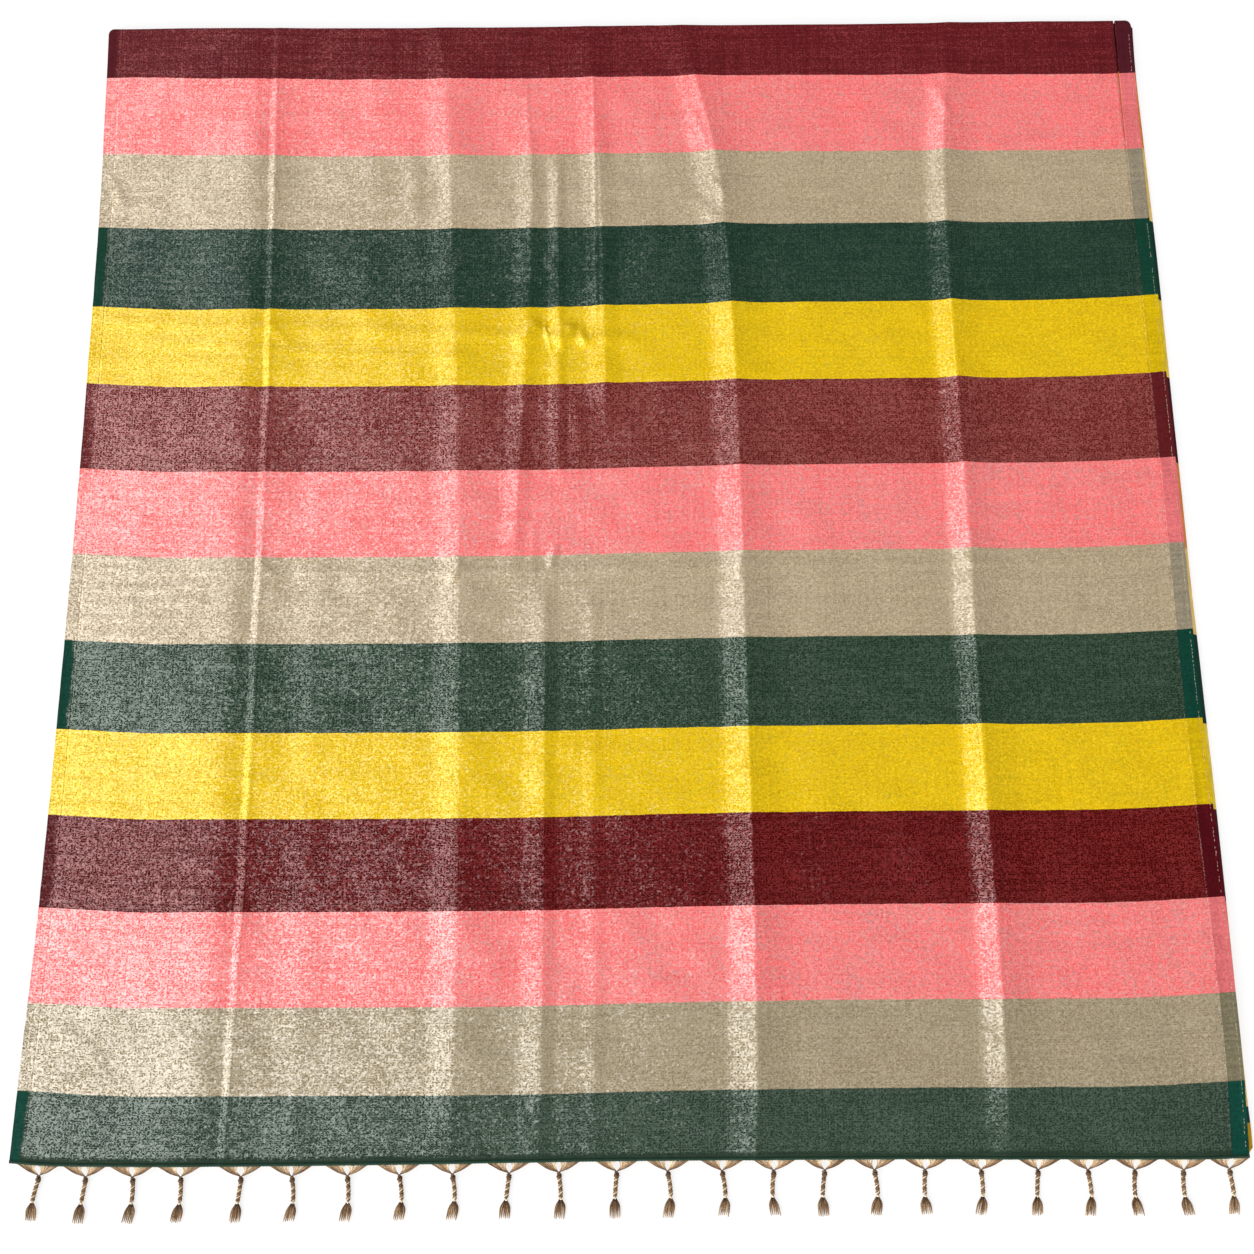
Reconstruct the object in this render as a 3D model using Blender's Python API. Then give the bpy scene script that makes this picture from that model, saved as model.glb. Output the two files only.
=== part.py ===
"""A chanderi saree folded lengthwise into a flat stack, its tasselled end laid on top.

Metres, +Z up. The stack rests on z = 0. The hem with its tassels is towards -Y, the top
fold towards +Y. The cloth's weft runs along X and its warp along Y.
"""
import math
import random

import bmesh
import bpy
from mathutils import Vector

MM = 0.001

# The cloth as it lies: one loom width across, one fold length deep
CLOTH_WIDTH = 1140 * MM
WALL = 1.2 * MM
SEAM = 0.3 * MM
LEFT_SELVEDGE = 12.5 * MM
RIGHT_SELVEDGE = 17.0 * MM
SELVEDGE_EXTRA = 0.4 * MM
HEM_DEPTH = 3.0 * MM
HEM_HEIGHT = 1.9 * MM

# Stripes from the top fold down to the hem: colour, length in mm
STRIPES = (
    ("maroon", 63.8),
    ("pink", 94.4),
    ("beige", 87.4),
    ("green", 91.3),
    ("yellow", 87.6),
    ("maroon", 93.8),
    ("pink", 93.3),
    ("beige", 89.0),
    ("green", 89.6),
    ("yellow", 84.7),
    ("maroon", 89.0),
    ("pink", 88.8),
    ("beige", 79.9),
    ("green", 64.9),
)
PANEL_LENGTH = sum(length for colour, length in STRIPES) * MM

# How far the cloth's side edges stray to the right of straight, in mm, from the top fold
# (0) to the hem (1)
EDGES = (
    {"down": 0.00, "left": 1.0, "right": -4.0},
    {"down": 0.08, "left": 4.2, "right": -5.2},
    {"down": 0.18, "left": 7.6, "right": -4.6},
    {"down": 0.30, "left": 9.2, "right": -3.3},
    {"down": 0.45, "left": 10.0, "right": -1.6},
    {"down": 0.65, "left": 8.9, "right": -0.6},
    {"down": 0.75, "left": 7.6, "right": 2.2},
    {"down": 0.85, "left": 4.9, "right": 4.9},
    {"down": 0.94, "left": 1.3, "right": 5.4},
    {"down": 1.00, "left": -0.6, "right": 4.0},
)

# Colour of each stripe and thread: red, green, blue, roughness, metallic
COLOURS = {
    "maroon": (0.112, 0.008, 0.012, 0.45, 0.25),
    "pink": (0.860, 0.190, 0.205, 0.45, 0.25),
    "beige": (0.490, 0.420, 0.300, 0.45, 0.35),
    "green": (0.012, 0.055, 0.040, 0.45, 0.25),
    "yellow": (0.820, 0.560, 0.012, 0.45, 0.25),
    "thread": (0.330, 0.200, 0.110, 0.80, 0.00),
}

# Five layers lie on each other: the panel on top and four hidden below it
LAYER_PITCH = 2.0 * MM
HIDDEN_LAYERS = 4
TOP_LAYER_PRESSED = 0.4 * MM
PANEL_LIFT = 0.1 * MM
STACK_TOP = HIDDEN_LAYERS * LAYER_PITCH - TOP_LAYER_PRESSED
PANEL_MID_Z = STACK_TOP + SEAM + WALL / 2 + PANEL_LIFT
FOLD_RADIUS = 1.05 * MM
FOLD_ARC_STEPS = 6
RETURN_LENGTH = 22 * MM
CORNER_RADIUS = 6 * MM
CORNER_STEPS = 4

# Soft pressed folds of the panel. Each row gives the place across the cloth at the top
# fold, near it, in the middle and at the hem as a share of the width.
CREASE_STATIONS = (("top", 0.0), ("upper", 0.17), ("middle", 0.55), ("hem", 1.0))
CREASE_LINES = (
    {"name": "left", "top": 0.1667, "upper": 0.1650, "middle": 0.1655, "hem": 0.1690},
    {"name": "second", "top": 0.329, "upper": 0.337, "middle": 0.350, "hem": 0.356},
    {"name": "third", "top": 0.400, "upper": 0.408, "middle": 0.418, "hem": 0.427},
    {"name": "short", "top": 0.470, "upper": 0.480, "middle": 0.483, "hem": 0.483},
    {"name": "main", "top": 0.577, "upper": 0.604, "middle": 0.606, "hem": 0.606},
    {"name": "right", "top": 0.822, "upper": 0.812, "middle": 0.810, "hem": 0.809},
    {"name": "edge", "top": 0.980, "upper": 0.982, "middle": 0.983, "hem": 0.983},
)
# The same folds' height, the reach of the left and right flanks in mm, and where along
# the panel they start and end
CREASE_FORMS = (
    {"name": "left", "height": 3.2, "left": 9, "right": 22, "start": 0.0, "end": 1.0},
    {"name": "second", "height": 2.2, "left": 30, "right": 34, "start": 0.0, "end": 1.0},
    {"name": "third", "height": 1.6, "left": 24, "right": 13, "start": 0.08, "end": 1.0},
    {"name": "short", "height": 1.2, "left": 20, "right": 18, "start": 0.0, "end": 0.48},
    {"name": "main", "height": 3.4, "left": 30, "right": 11, "start": 0.0, "end": 1.0},
    {"name": "right", "height": 3.8, "left": 28, "right": 10, "start": 0.0, "end": 1.0},
    {"name": "edge", "height": 1.4, "left": 38, "right": 12, "start": 0.68, "end": 1.0},
)
CREASES = tuple({**line, **form} for line, form in zip(CREASE_LINES, CREASE_FORMS))
CREASE_SOFT_END = 0.08
FLANK_GAP = 0.0008

# How much of the folds' height is left at the top fold and the hem, and over what share
# of the panel they ease off there
EASE_AT_FOLD = 0.35
EASE_FROM_FOLD = 0.12
EASE_AT_HEM = 0.55
EASE_TO_HEM = 0.10

# The weft lines bow a little: shift along the warp in mm at shares of the width, on the
# top fold, just below it, in the body of the panel and on the hem
BOW_STATIONS = (("fold", 0.0), ("top", 0.06), ("body", 0.30), ("body", 0.95), ("hem", 1.0))
BOW = (
    {"across": 0.000, "fold": 2.0, "top": 4.5, "body": 3.5, "hem": 4.0},
    {"across": 0.030, "fold": 1.8, "top": 4.9, "body": 1.5, "hem": 1.4},
    {"across": 0.080, "fold": 2.2, "top": 3.0, "body": -1.8, "hem": 0.4},
    {"across": 0.140, "fold": 1.6, "top": 1.1, "body": -2.4, "hem": 0.0},
    {"across": 0.250, "fold": 0.2, "top": -0.3, "body": -2.8, "hem": 0.2},
    {"across": 0.400, "fold": -0.4, "top": -0.8, "body": -2.8, "hem": 1.8},
    {"across": 0.470, "fold": 0.0, "top": -0.4, "body": -1.5, "hem": 2.6},
    {"across": 0.520, "fold": 0.2, "top": 0.1, "body": -0.3, "hem": 2.9},
    {"across": 0.620, "fold": -0.3, "top": 0.4, "body": 1.0, "hem": 3.1},
    {"across": 0.740, "fold": -0.5, "top": -0.4, "body": 1.5, "hem": 3.0},
    {"across": 0.880, "fold": 0.3, "top": -1.7, "body": 1.3, "hem": 2.0},
    {"across": 0.930, "fold": 0.4, "top": -2.5, "body": 2.3, "hem": 1.7},
    {"across": 0.965, "fold": 0.2, "top": -2.2, "body": 4.2, "hem": 1.6},
    {"across": 1.000, "fold": 0.6, "top": -1.2, "body": 6.5, "hem": 2.8},
)

# The hidden layers' edges, from the floor up. Each row is one ring: its height, and how
# far it reaches beyond the panel's left, right, near and far edges, all in mm.
# Layers 2 and 3 and layers 4 and 5 turn into each other at the near edge, 3 and 4 at the far.
LAYER_RINGS = (
    {"z": 0.0, "left": -3.4, "right": 3.0, "near": -4.6, "far": -7.6},
    {"z": 0.5, "left": -2.6, "right": 4.0, "near": -3.4, "far": -6.8},
    {"z": 1.5, "left": -3.0, "right": 3.4, "near": -2.8, "far": -7.2},
    {"z": 1.8, "left": -8.0, "right": -2.0, "near": -2.7, "far": -13.0},
    {"z": 2.1, "left": -1.8, "right": 4.8, "near": -2.8, "far": -1.8},
    {"z": 2.8, "left": -1.2, "right": 5.5, "near": -3.2, "far": -1.1},
    {"z": 3.6, "left": -1.8, "right": 4.8, "near": -4.2, "far": -0.8},
    {"z": 3.8, "left": -7.0, "right": -1.0, "near": -10.0, "far": -0.75},
    {"z": 4.0, "left": -2.8, "right": 5.8, "near": -3.0, "far": -0.8},
    {"z": 4.5, "left": -2.2, "right": 6.5, "near": -2.0, "far": -1.1},
    {"z": 5.0, "left": -2.8, "right": 5.8, "near": -1.6, "far": -2.0},
    {"z": 5.15, "left": -8.0, "right": -3.0, "near": -1.5, "far": -27.0},
    {"z": 6.0, "left": -1.6, "right": 2.8, "near": -1.6, "far": -25.0},
    {"z": 6.8, "left": -1.0, "right": 3.4, "near": -2.0, "far": -24.5},
    {"z": 7.6, "left": -2.0, "right": 2.2, "near": -3.4, "far": -25.5},
)
RIGHT_REACH = max(ring["right"] for ring in LAYER_RINGS) * MM

# Share of the right-hand reach along the panel, from the top fold (0) to the hem (1)
RIGHT_REACH_ALONG = (
    {"down": 0.00, "share": 0.48},
    {"down": 0.05, "share": 0.58},
    {"down": 0.12, "share": 0.85},
    {"down": 0.25, "share": 0.82},
    {"down": 0.40, "share": 0.68},
    {"down": 0.52, "share": 0.66},
    {"down": 0.66, "share": 0.88},
    {"down": 0.76, "share": 0.60},
    {"down": 0.84, "share": 0.34},
    {"down": 0.92, "share": 0.32},
    {"down": 0.962, "share": 0.52},
    {"down": 0.98, "share": 0.74},
    {"down": 1.00, "share": 1.05},
)
EXTRA_SIDE_SHARES = (0.84, 0.962, 0.98)
END_SHARES = (0.08, 0.20, 0.35, 0.50, 0.65, 0.80, 0.92)

# Tassels along the hem: the knot's place as a share of the width, how far the tuft leans
# sideways and how far the cord bends aside between them, in mm
TASSELS = (
    {"across": 0.023, "lean": -5.5, "sway": -1.7},
    {"across": 0.061, "lean": -5.3, "sway": -0.1},
    {"across": 0.099, "lean": -3.6, "sway": 2.1},
    {"across": 0.138, "lean": -3.6, "sway": 2.0},
    {"across": 0.187, "lean": -5.0, "sway": 0.2},
    {"across": 0.228, "lean": -2.0, "sway": 2.9},
    {"across": 0.273, "lean": -2.2, "sway": 2.4},
    {"across": 0.315, "lean": -0.6, "sway": 2.8},
    {"across": 0.358, "lean": -0.9, "sway": 2.8},
    {"across": 0.404, "lean": -4.3, "sway": -0.4},
    {"across": 0.444, "lean": 0.1, "sway": 1.8},
    {"across": 0.491, "lean": -2.0, "sway": -0.8},
    {"across": 0.532, "lean": -0.4, "sway": 2.8},
    {"across": 0.576, "lean": 0.3, "sway": 2.5},
    {"across": 0.618, "lean": 1.0, "sway": -2.4},
    {"across": 0.659, "lean": -2.0, "sway": -1.6},
    {"across": 0.699, "lean": -0.4, "sway": 2.5},
    {"across": 0.740, "lean": 0.3, "sway": -1.5},
    {"across": 0.785, "lean": -2.7, "sway": 2.1},
    {"across": 0.831, "lean": -2.9, "sway": -0.6},
    {"across": 0.871, "lean": -0.4, "sway": 2.2},
    {"across": 0.909, "lean": 1.3, "sway": -2.1},
    {"across": 0.948, "lean": 2.9, "sway": -2.2},
    {"across": 0.985, "lean": 0.9, "sway": 1.6},
)
TASSEL_REACH = 48.6 * MM
TASSEL_CLEAR = 0.35 * MM
TUFT_UNEVEN = 1.5
STRAND_UNEVEN = 2.4

# The tassel's body from its upper knot to its tuft: distance from the hem, half width
# and half height, all in mm
TASSEL_BODY = (
    {"down": 10.4, "half_width": 2.4, "half_height": 1.6},
    {"down": 12.6, "half_width": 2.9, "half_height": 2.4},
    {"down": 15.2, "half_width": 1.9, "half_height": 1.7},
    {"down": 22.7, "half_width": 2.1, "half_height": 1.9},
    {"down": 30.4, "half_width": 1.8, "half_height": 1.7},
    {"down": 32.6, "half_width": 2.3, "half_height": 2.1},
    {"down": 34.8, "half_width": 2.2, "half_height": 1.6},
)
BODY_SIDES = 6
FAN_ROOT = {"down": 9.6, "half_width": 2.1, "z": 2.35}
FAN_ENDS = (-19.0, -12.4, -5.0, 5.0, 12.4, 19.0)
FAN_HALF_WIDTH = 1.1
TUFT_ROOT = {"down": 35.6, "half_width": 2.0, "z": 1.95}
TUFT_MIDDLE = 41.8
TUFT_ENDS = (-4.2, -1.4, 1.4, 4.2)
TUFT_MIDDLE_SPREAD = 0.62
TUFT_HALF_WIDTH = 0.7
STRAND_HALF_HEIGHT = 0.45
ROOT_GAP = 0.3

HEM_SIDES = 8
EDGE_SAMPLES = 100
SHARP_ANGLE = 50


def smooth(t):
    t = min(1.0, max(0.0, t))
    return t * t * (3 - 2 * t)


def slope_at(places, values, index):
    before = max(0, index - 1)
    after = min(len(places) - 1, index + 1)
    return (values[after] - values[before]) / (places[after] - places[before])


def curve_through(places, values, place):
    """Value at a place on a smooth curve through points."""
    place = min(places[-1], max(places[0], place))
    low = max(index for index in range(len(places) - 1) if places[index] <= place)
    step = places[low + 1] - places[low]
    t = (place - places[low]) / step
    start = values[low]
    end = values[low + 1]
    leave = slope_at(places, values, low) * step
    arrive = slope_at(places, values, low + 1) * step
    eased = start + (end - start) * t * t * (3 - 2 * t)
    return eased + leave * t * (1 - t) ** 2 - arrive * t * t * (1 - t)


def read(table, key, column, place):
    """Value of a table's column at a place along its key column."""
    places = [row[key] for row in table]
    values = [row[column] for row in table]
    return curve_through(places, values, place)


def edge(side, down):
    """How far the left or right edge of the cloth strays to the right."""
    return read(EDGES, "down", side, down) * MM


def right_reach(down):
    """Share of the hidden layers' right-hand reach."""
    return read(RIGHT_REACH_ALONG, "down", "share", down)


def centred_left():
    """Left end of the cloth's straight width that centres the whole saree on X = 0."""
    shares = [index / EDGE_SAMPLES for index in range(EDGE_SAMPLES)]
    left = min(edge("left", share) for share in shares)
    right = max(edge("right", share) + RIGHT_REACH * right_reach(share) for share in shares)
    return -(left + CLOTH_WIDTH + right) / 2


# Places worked out from the sizes above; the whole saree is centred on the origin
CLOTH_LEFT = centred_left()
FOLD_SHIFT = max(row["fold"] for row in BOW) * MM
HEM_Y = -(PANEL_LENGTH + FOLD_SHIFT + TASSEL_REACH) / 2 + TASSEL_REACH
FOLD_Y = HEM_Y + PANEL_LENGTH
FOLD_CENTRE_Y = FOLD_Y - FOLD_RADIUS - WALL / 2
PANEL_END_Y = HEM_Y + HEM_DEPTH + SEAM


def clear_scene():
    for old in list(bpy.data.objects):
        bpy.data.objects.remove(old, do_unlink=True)


def material(name):
    """Plain finish of one stripe's or thread's colour."""
    red, green, blue, roughness, metallic = COLOURS[name]
    finish = bpy.data.materials.new(name)
    finish.use_nodes = True
    shader = finish.node_tree.nodes["Principled BSDF"]
    shader.inputs["Base Color"].default_value = (red, green, blue, 1.0)
    shader.inputs["Roughness"].default_value = roughness
    shader.inputs["Metallic"].default_value = metallic
    finish.diffuse_color = (red, green, blue, 1.0)
    return finish


def make_materials():
    return {name: material(name) for name in COLOURS}


def stripe_at(down):
    """Colour of the stripe at a distance below the top fold."""
    passed = 0.0
    for colour, length in STRIPES:
        passed += length * MM
        if down < passed:
            return colour
    return STRIPES[-1][0]


def stripe_edges():
    """Distances of the stripes' edges below the top fold, from the fold to the hem."""
    edges = [0.0]
    for colour, length in STRIPES:
        edges.append(edges[-1] + length * MM)
    return edges


def place(name, bm, location, finishes, colour_of, parent):
    """Turn a mesh into one named object, each face in the colour that colour_of gives it."""
    bmesh.ops.recalc_face_normals(bm, faces=bm.faces)
    mesh = bpy.data.meshes.new(name)
    names = []
    for face in bm.faces:
        colour = colour_of(face.calc_center_median() + location)
        if colour not in names:
            names.append(colour)
        face.material_index = names.index(colour)
        face.smooth = True
    bm.to_mesh(mesh)
    bm.free()
    for colour in names:
        mesh.materials.append(finishes[colour])
    mesh.set_sharp_from_angle(angle=math.radians(SHARP_ANGLE))
    piece = bpy.data.objects.new(name, mesh)
    piece.location = location
    piece.parent = parent
    bpy.context.scene.collection.objects.link(piece)
    return piece


def stripe_colour(point):
    return stripe_at(FOLD_Y - point.y)


def thread_colour(point):
    return "thread"


# Form of the panel


def side_x(side, down):
    """Place of the cloth's left or right edge at a share of the way down the panel."""
    return CLOTH_LEFT + edge(side, down) + (CLOTH_WIDTH if side == "right" else 0.0)


def x_at(across, down):
    left = side_x("left", down)
    return left + across * (side_x("right", down) - left)


def crease_line(crease, down):
    """Place of a crease across the cloth at a share of the way down the panel."""
    places = [station for name, station in CREASE_STATIONS]
    values = [crease[name] for name, station in CREASE_STATIONS]
    return curve_through(places, values, down)


def crease_window(crease, down):
    """Fades a crease in and out where it starts and ends on the panel."""
    opened = 1.0 if crease["start"] == 0.0 else smooth((down - crease["start"]) / CREASE_SOFT_END)
    closed = 1.0 if crease["end"] == 1.0 else smooth((crease["end"] - down) / CREASE_SOFT_END)
    return opened * closed


def relief(across, down):
    """Height of the soft folds above the flat cloth."""
    height = 0.0
    for crease in CREASES:
        offset = (across - crease_line(crease, down)) * CLOTH_WIDTH / MM
        reach = crease["left"] if offset < 0 else crease["right"]
        height += crease["height"] * MM * smooth(1 - abs(offset) / reach) * crease_window(crease, down)
    return height


def ease_along(down):
    """The folds flatten towards the top fold and the hem."""
    near_fold = smooth(1 - down / EASE_FROM_FOLD)
    near_hem = smooth((down - 1 + EASE_TO_HEM) / EASE_TO_HEM)
    return 1.0 - (1 - EASE_AT_FOLD) * near_fold - (1 - EASE_AT_HEM) * near_hem


def bow(across, down):
    """Shift of a weft line along the warp at a share of the width and of the way down."""
    for (low_name, low), (high_name, high) in zip(BOW_STATIONS, BOW_STATIONS[1:]):
        if down <= high:
            break
    share = smooth((down - low) / (high - low))
    start = read(BOW, "across", low_name, across)
    end = read(BOW, "across", high_name, across)
    return (start + (end - start) * share) * MM


def corner_pull(across):
    """How far the top fold draws back at its rounded ends."""
    side = min(across, 1 - across) * CLOTH_WIDTH
    if side >= CORNER_RADIUS:
        return 0.0
    return CORNER_RADIUS - math.sqrt(CORNER_RADIUS ** 2 - (CORNER_RADIUS - side) ** 2)


def stations():
    """The cloth's path in the Y-Z plane from the tucked return, round the fold, to the hem.

    Each station has y, z, the outward direction, the share down the panel, how much of the
    folds' relief it carries and how much it draws back at the corners.
    """
    path = []
    return_z = PANEL_MID_Z - 2 * FOLD_RADIUS
    for share in (1.0, 0.4):
        corner = 1.0 - share
        path.append((FOLD_CENTRE_Y - RETURN_LENGTH * share, return_z, 0.0, -1.0, 0.0, 0.0, corner))
    for step in range(FOLD_ARC_STEPS, -1, -1):
        angle = math.pi * step / FOLD_ARC_STEPS
        y = FOLD_CENTRE_Y + FOLD_RADIUS * math.sin(angle)
        z = PANEL_MID_Z - FOLD_RADIUS * (1 - math.cos(angle))
        lift = EASE_AT_FOLD * (1 - step / FOLD_ARC_STEPS)
        path.append((y, z, math.sin(angle), math.cos(angle), 0.0, lift, 1.0))
    edges = stripe_edges()
    for low, high in zip(edges, edges[1:]):
        for y in (FOLD_Y - (low + high) / 2, FOLD_Y - high):
            y = max(y, PANEL_END_Y)
            down = (FOLD_CENTRE_Y - y) / (FOLD_CENTRE_Y - HEM_Y)
            path.append((y, PANEL_MID_Z, 0.0, 1.0, down, ease_along(down), 0.0))
    return path


def cloth_point(across, station, outward):
    """A point of the cloth, moved out from its middle by the given distance."""
    y, z, out_y, out_z, down, lift, corner = station
    x = x_at(across, down)
    y += bow(across, down) - corner * corner_pull(across) + out_y * outward
    z += relief(across, down) * lift + out_z * outward
    return Vector((x, y, z))


def panel_columns(down):
    """Places across the panel, with a column on each crease and at the foot of its flanks."""
    left = (LEFT_SELVEDGE + SEAM) / CLOTH_WIDTH
    right = 1 - (RIGHT_SELVEDGE + SEAM) / CLOTH_WIDTH
    lines = [crease_line(crease, down) for crease in CREASES]
    bounds = [left] + [(low + high) / 2 for low, high in zip(lines, lines[1:])] + [right]
    knots = [left]
    for index, crease in enumerate(CREASES):
        line = lines[index]
        knots.append(max(line - crease["left"] * MM / CLOTH_WIDTH, bounds[index] + FLANK_GAP))
        knots.append(line)
        knots.append(min(line + crease["right"] * MM / CLOTH_WIDTH, bounds[index + 1] - FLANK_GAP))
    knots.append(right)
    columns = [left]
    for low, high in zip(knots, knots[1:]):
        columns += [(low + high) / 2, high]
    return columns


def selvedge_columns(start, width):
    shares = (0.0, 0.2, 0.5, 0.75, 1.0)
    return [start + width / CLOTH_WIDTH * share for share in shares]


def wall_mesh(columns_at, inward, outward, location):
    """A closed wall of cloth along the stations, between two distances from its middle."""
    bm = bmesh.new()
    path = stations()
    outer = []
    inner = []
    for station in path:
        columns = columns_at(station[4])
        outer.append([bm.verts.new(cloth_point(u, station, outward) - location) for u in columns])
        inner.append([bm.verts.new(cloth_point(u, station, -inward) - location) for u in columns])
    last = len(outer[0]) - 1
    for row in range(len(path) - 1):
        for column in range(last):
            for grid in (outer, inner):
                bm.faces.new((grid[row][column], grid[row][column + 1],
                              grid[row + 1][column + 1], grid[row + 1][column]))
        for column in (0, last):
            bm.faces.new((outer[row][column], outer[row + 1][column],
                          inner[row + 1][column], inner[row][column]))
    for row in (0, len(path) - 1):
        for column in range(last):
            bm.faces.new((outer[row][column], outer[row][column + 1],
                          inner[row][column + 1], inner[row][column]))
    return bm


def make_panel(finishes, parent):
    location = Vector((x_at(0.5, 1.0), HEM_Y, PANEL_MID_Z))
    bm = wall_mesh(panel_columns, WALL / 2, WALL / 2, location)
    place("pallu_panel", bm, location, finishes, stripe_colour, parent)


def make_selvedges(finishes, parent):
    """The plain woven edges, a little thicker than the cloth between them."""
    left = selvedge_columns(0.0, LEFT_SELVEDGE)
    right = selvedge_columns(1 - RIGHT_SELVEDGE / CLOTH_WIDTH, RIGHT_SELVEDGE)
    for name, columns in (("selvedge_left", left), ("selvedge_right", right)):
        location = Vector((x_at(columns[0], 1.0), HEM_Y, PANEL_MID_Z))
        bm = wall_mesh(lambda down: columns, WALL / 2, WALL / 2 + SELVEDGE_EXTRA, location)
        place(name, bm, location, finishes, stripe_colour, parent)


def hem_front(across):
    """The middle of the hem's outer face at a place across the cloth."""
    x = x_at(across, 1.0)
    z = PANEL_MID_Z + relief(across, 1.0) * EASE_AT_HEM + (HEM_HEIGHT - WALL) / 2
    return Vector((x, HEM_Y + bow(across, 1.0), z))


def make_hem(finishes, parent):
    """The rolled hem along the tasselled end."""
    location = Vector((x_at(0.5, 1.0), HEM_Y, PANEL_MID_Z))
    shares = [0.0] + panel_columns(1.0) + [1.0]
    bm = bmesh.new()
    rings = []
    for across in shares:
        front = hem_front(across) - location
        ring = []
        for side in range(HEM_SIDES):
            angle = 2 * math.pi * (side + 0.5) / HEM_SIDES
            depth = HEM_DEPTH / 2 * (1 - math.cos(angle) / math.cos(math.pi / HEM_SIDES))
            height = HEM_HEIGHT / 2 * math.sin(angle) / math.cos(math.pi / HEM_SIDES)
            ring.append(bm.verts.new(front + Vector((0, depth, height))))
        rings.append(ring)
    bridge(bm, rings)
    cap(bm, rings[0])
    cap(bm, rings[-1])
    place("hem_roll", bm, location, finishes, stripe_colour, parent)


def bridge(bm, rings):
    for low, high in zip(rings, rings[1:]):
        for index in range(len(low)):
            following = (index + 1) % len(low)
            bm.faces.new((low[index], low[following], high[following], high[index]))


def cap(bm, ring):
    bm.faces.new(ring)


# The hidden layers below the panel


def ring_side(side, ring, y):
    """Point of a ring on its left or right side, following the panel's edge."""
    down = (FOLD_Y - y) / PANEL_LENGTH
    if side == "left":
        return side_x("left", down) - ring["left"] * MM
    reach = ring["right"]
    if reach > 0:
        reach *= right_reach(down)
    return side_x("right", down) + reach * MM


def ring_end(end, ring, across):
    """Point of a ring at its near or far end, following the hem or the top fold."""
    if end == "near":
        return HEM_Y + bow(across, 1.0) - ring["near"] * MM
    return FOLD_Y + bow(across, 0.0) + ring["far"] * MM


def ring_corner(ring, end, side):
    """Rounded corner of a ring, as points from its end to its side."""
    outward = 1 if side == "right" else -1
    away = 1 if end == "far" else -1
    centre_y = ring_end(end, ring, 1.0 if side == "right" else 0.0) - away * CORNER_RADIUS
    centre_x = ring_side(side, ring, centre_y) - outward * CORNER_RADIUS
    points = []
    for step in range(CORNER_STEPS + 1):
        turn = math.pi / 2 * step / CORNER_STEPS
        x = centre_x + outward * CORNER_RADIUS * math.sin(turn)
        y = centre_y + away * CORNER_RADIUS * math.cos(turn)
        points.append((x, y))
    return points


def ring_outline(ring):
    """Plan outline of one ring of the hidden stack, from the near end counterclockwise."""
    side_places = [FOLD_Y - edge_down for edge_down in stripe_edges()[1:-1]]
    side_places += [FOLD_Y - share * PANEL_LENGTH for share in EXTRA_SIDE_SHARES]
    side_places.sort()
    points = [(x_at(share, 1.0), ring_end("near", ring, share)) for share in END_SHARES]
    points += ring_corner(ring, "near", "right")
    points += [(ring_side("right", ring, y), y) for y in side_places]
    points += reversed(ring_corner(ring, "far", "right"))
    points += [(x_at(share, 0.0), ring_end("far", ring, share)) for share in reversed(END_SHARES)]
    points += ring_corner(ring, "far", "left")
    points += [(ring_side("left", ring, y), y) for y in reversed(side_places)]
    points += reversed(ring_corner(ring, "near", "left"))
    return points


def make_hidden_layers(finishes, parent):
    location = Vector((0, 0, 0))
    bm = bmesh.new()
    rings = []
    for ring in LAYER_RINGS:
        height = ring["z"] * MM
        rings.append([bm.verts.new((x, y, height)) for x, y in ring_outline(ring)])
    bridge(bm, rings)
    cap(bm, rings[0])
    cap(bm, rings[-1])
    place("hidden_layers", bm, location, finishes, stripe_colour, parent)


# Tassels


def root_places(count, half_width):
    """Left and right side of each strand's root, in a row with small gaps between them."""
    width = (2 * half_width - (count - 1) * ROOT_GAP) / count
    return [(-half_width + index * (width + ROOT_GAP), -half_width + index * (width + ROOT_GAP) + width)
            for index in range(count)]


def strand_sections(count, root, sections):
    """Each strand as a list of sections: distance from the hem, left, right, middle height."""
    strands = []
    half_width = root["half_width"]
    for index, (left, right) in enumerate(root_places(count, half_width)):
        strand = [(root["down"], left, right, root["z"])]
        for section in sections[index]:
            strand.append(section)
        strands.append(strand)
    return strands


def tassel_strands(bm, body_ring, strands, point_at):
    """Strands grown from a row of roots, and the collar that joins the roots to the body."""
    top = []
    bottom = []
    for strand in strands:
        rings = []
        for down, left, right, z in strand:
            corners = ((left, z + STRAND_HALF_HEIGHT), (right, z + STRAND_HALF_HEIGHT),
                       (right, z - STRAND_HALF_HEIGHT), (left, z - STRAND_HALF_HEIGHT))
            rings.append([bm.verts.new(point_at(down, side, height)) for side, height in corners])
        bridge(bm, rings)
        cap(bm, rings[-1])
        top += rings[0][:2]
        bottom += [rings[0][3], rings[0][2]]
    for gap in range(1, len(strands)):
        bm.faces.new((top[2 * gap - 1], top[2 * gap], bottom[2 * gap], bottom[2 * gap - 1]))
    right, top_right, top_left, left, low_left, low_right = body_ring
    bm.faces.new(top + [top_right, top_left])
    bm.faces.new(bottom + [low_right, low_left])
    bm.faces.new((top[0], top_left, left, low_left, bottom[0]))
    bm.faces.new((top[-1], top_right, right, low_right, bottom[-1]))


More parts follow.
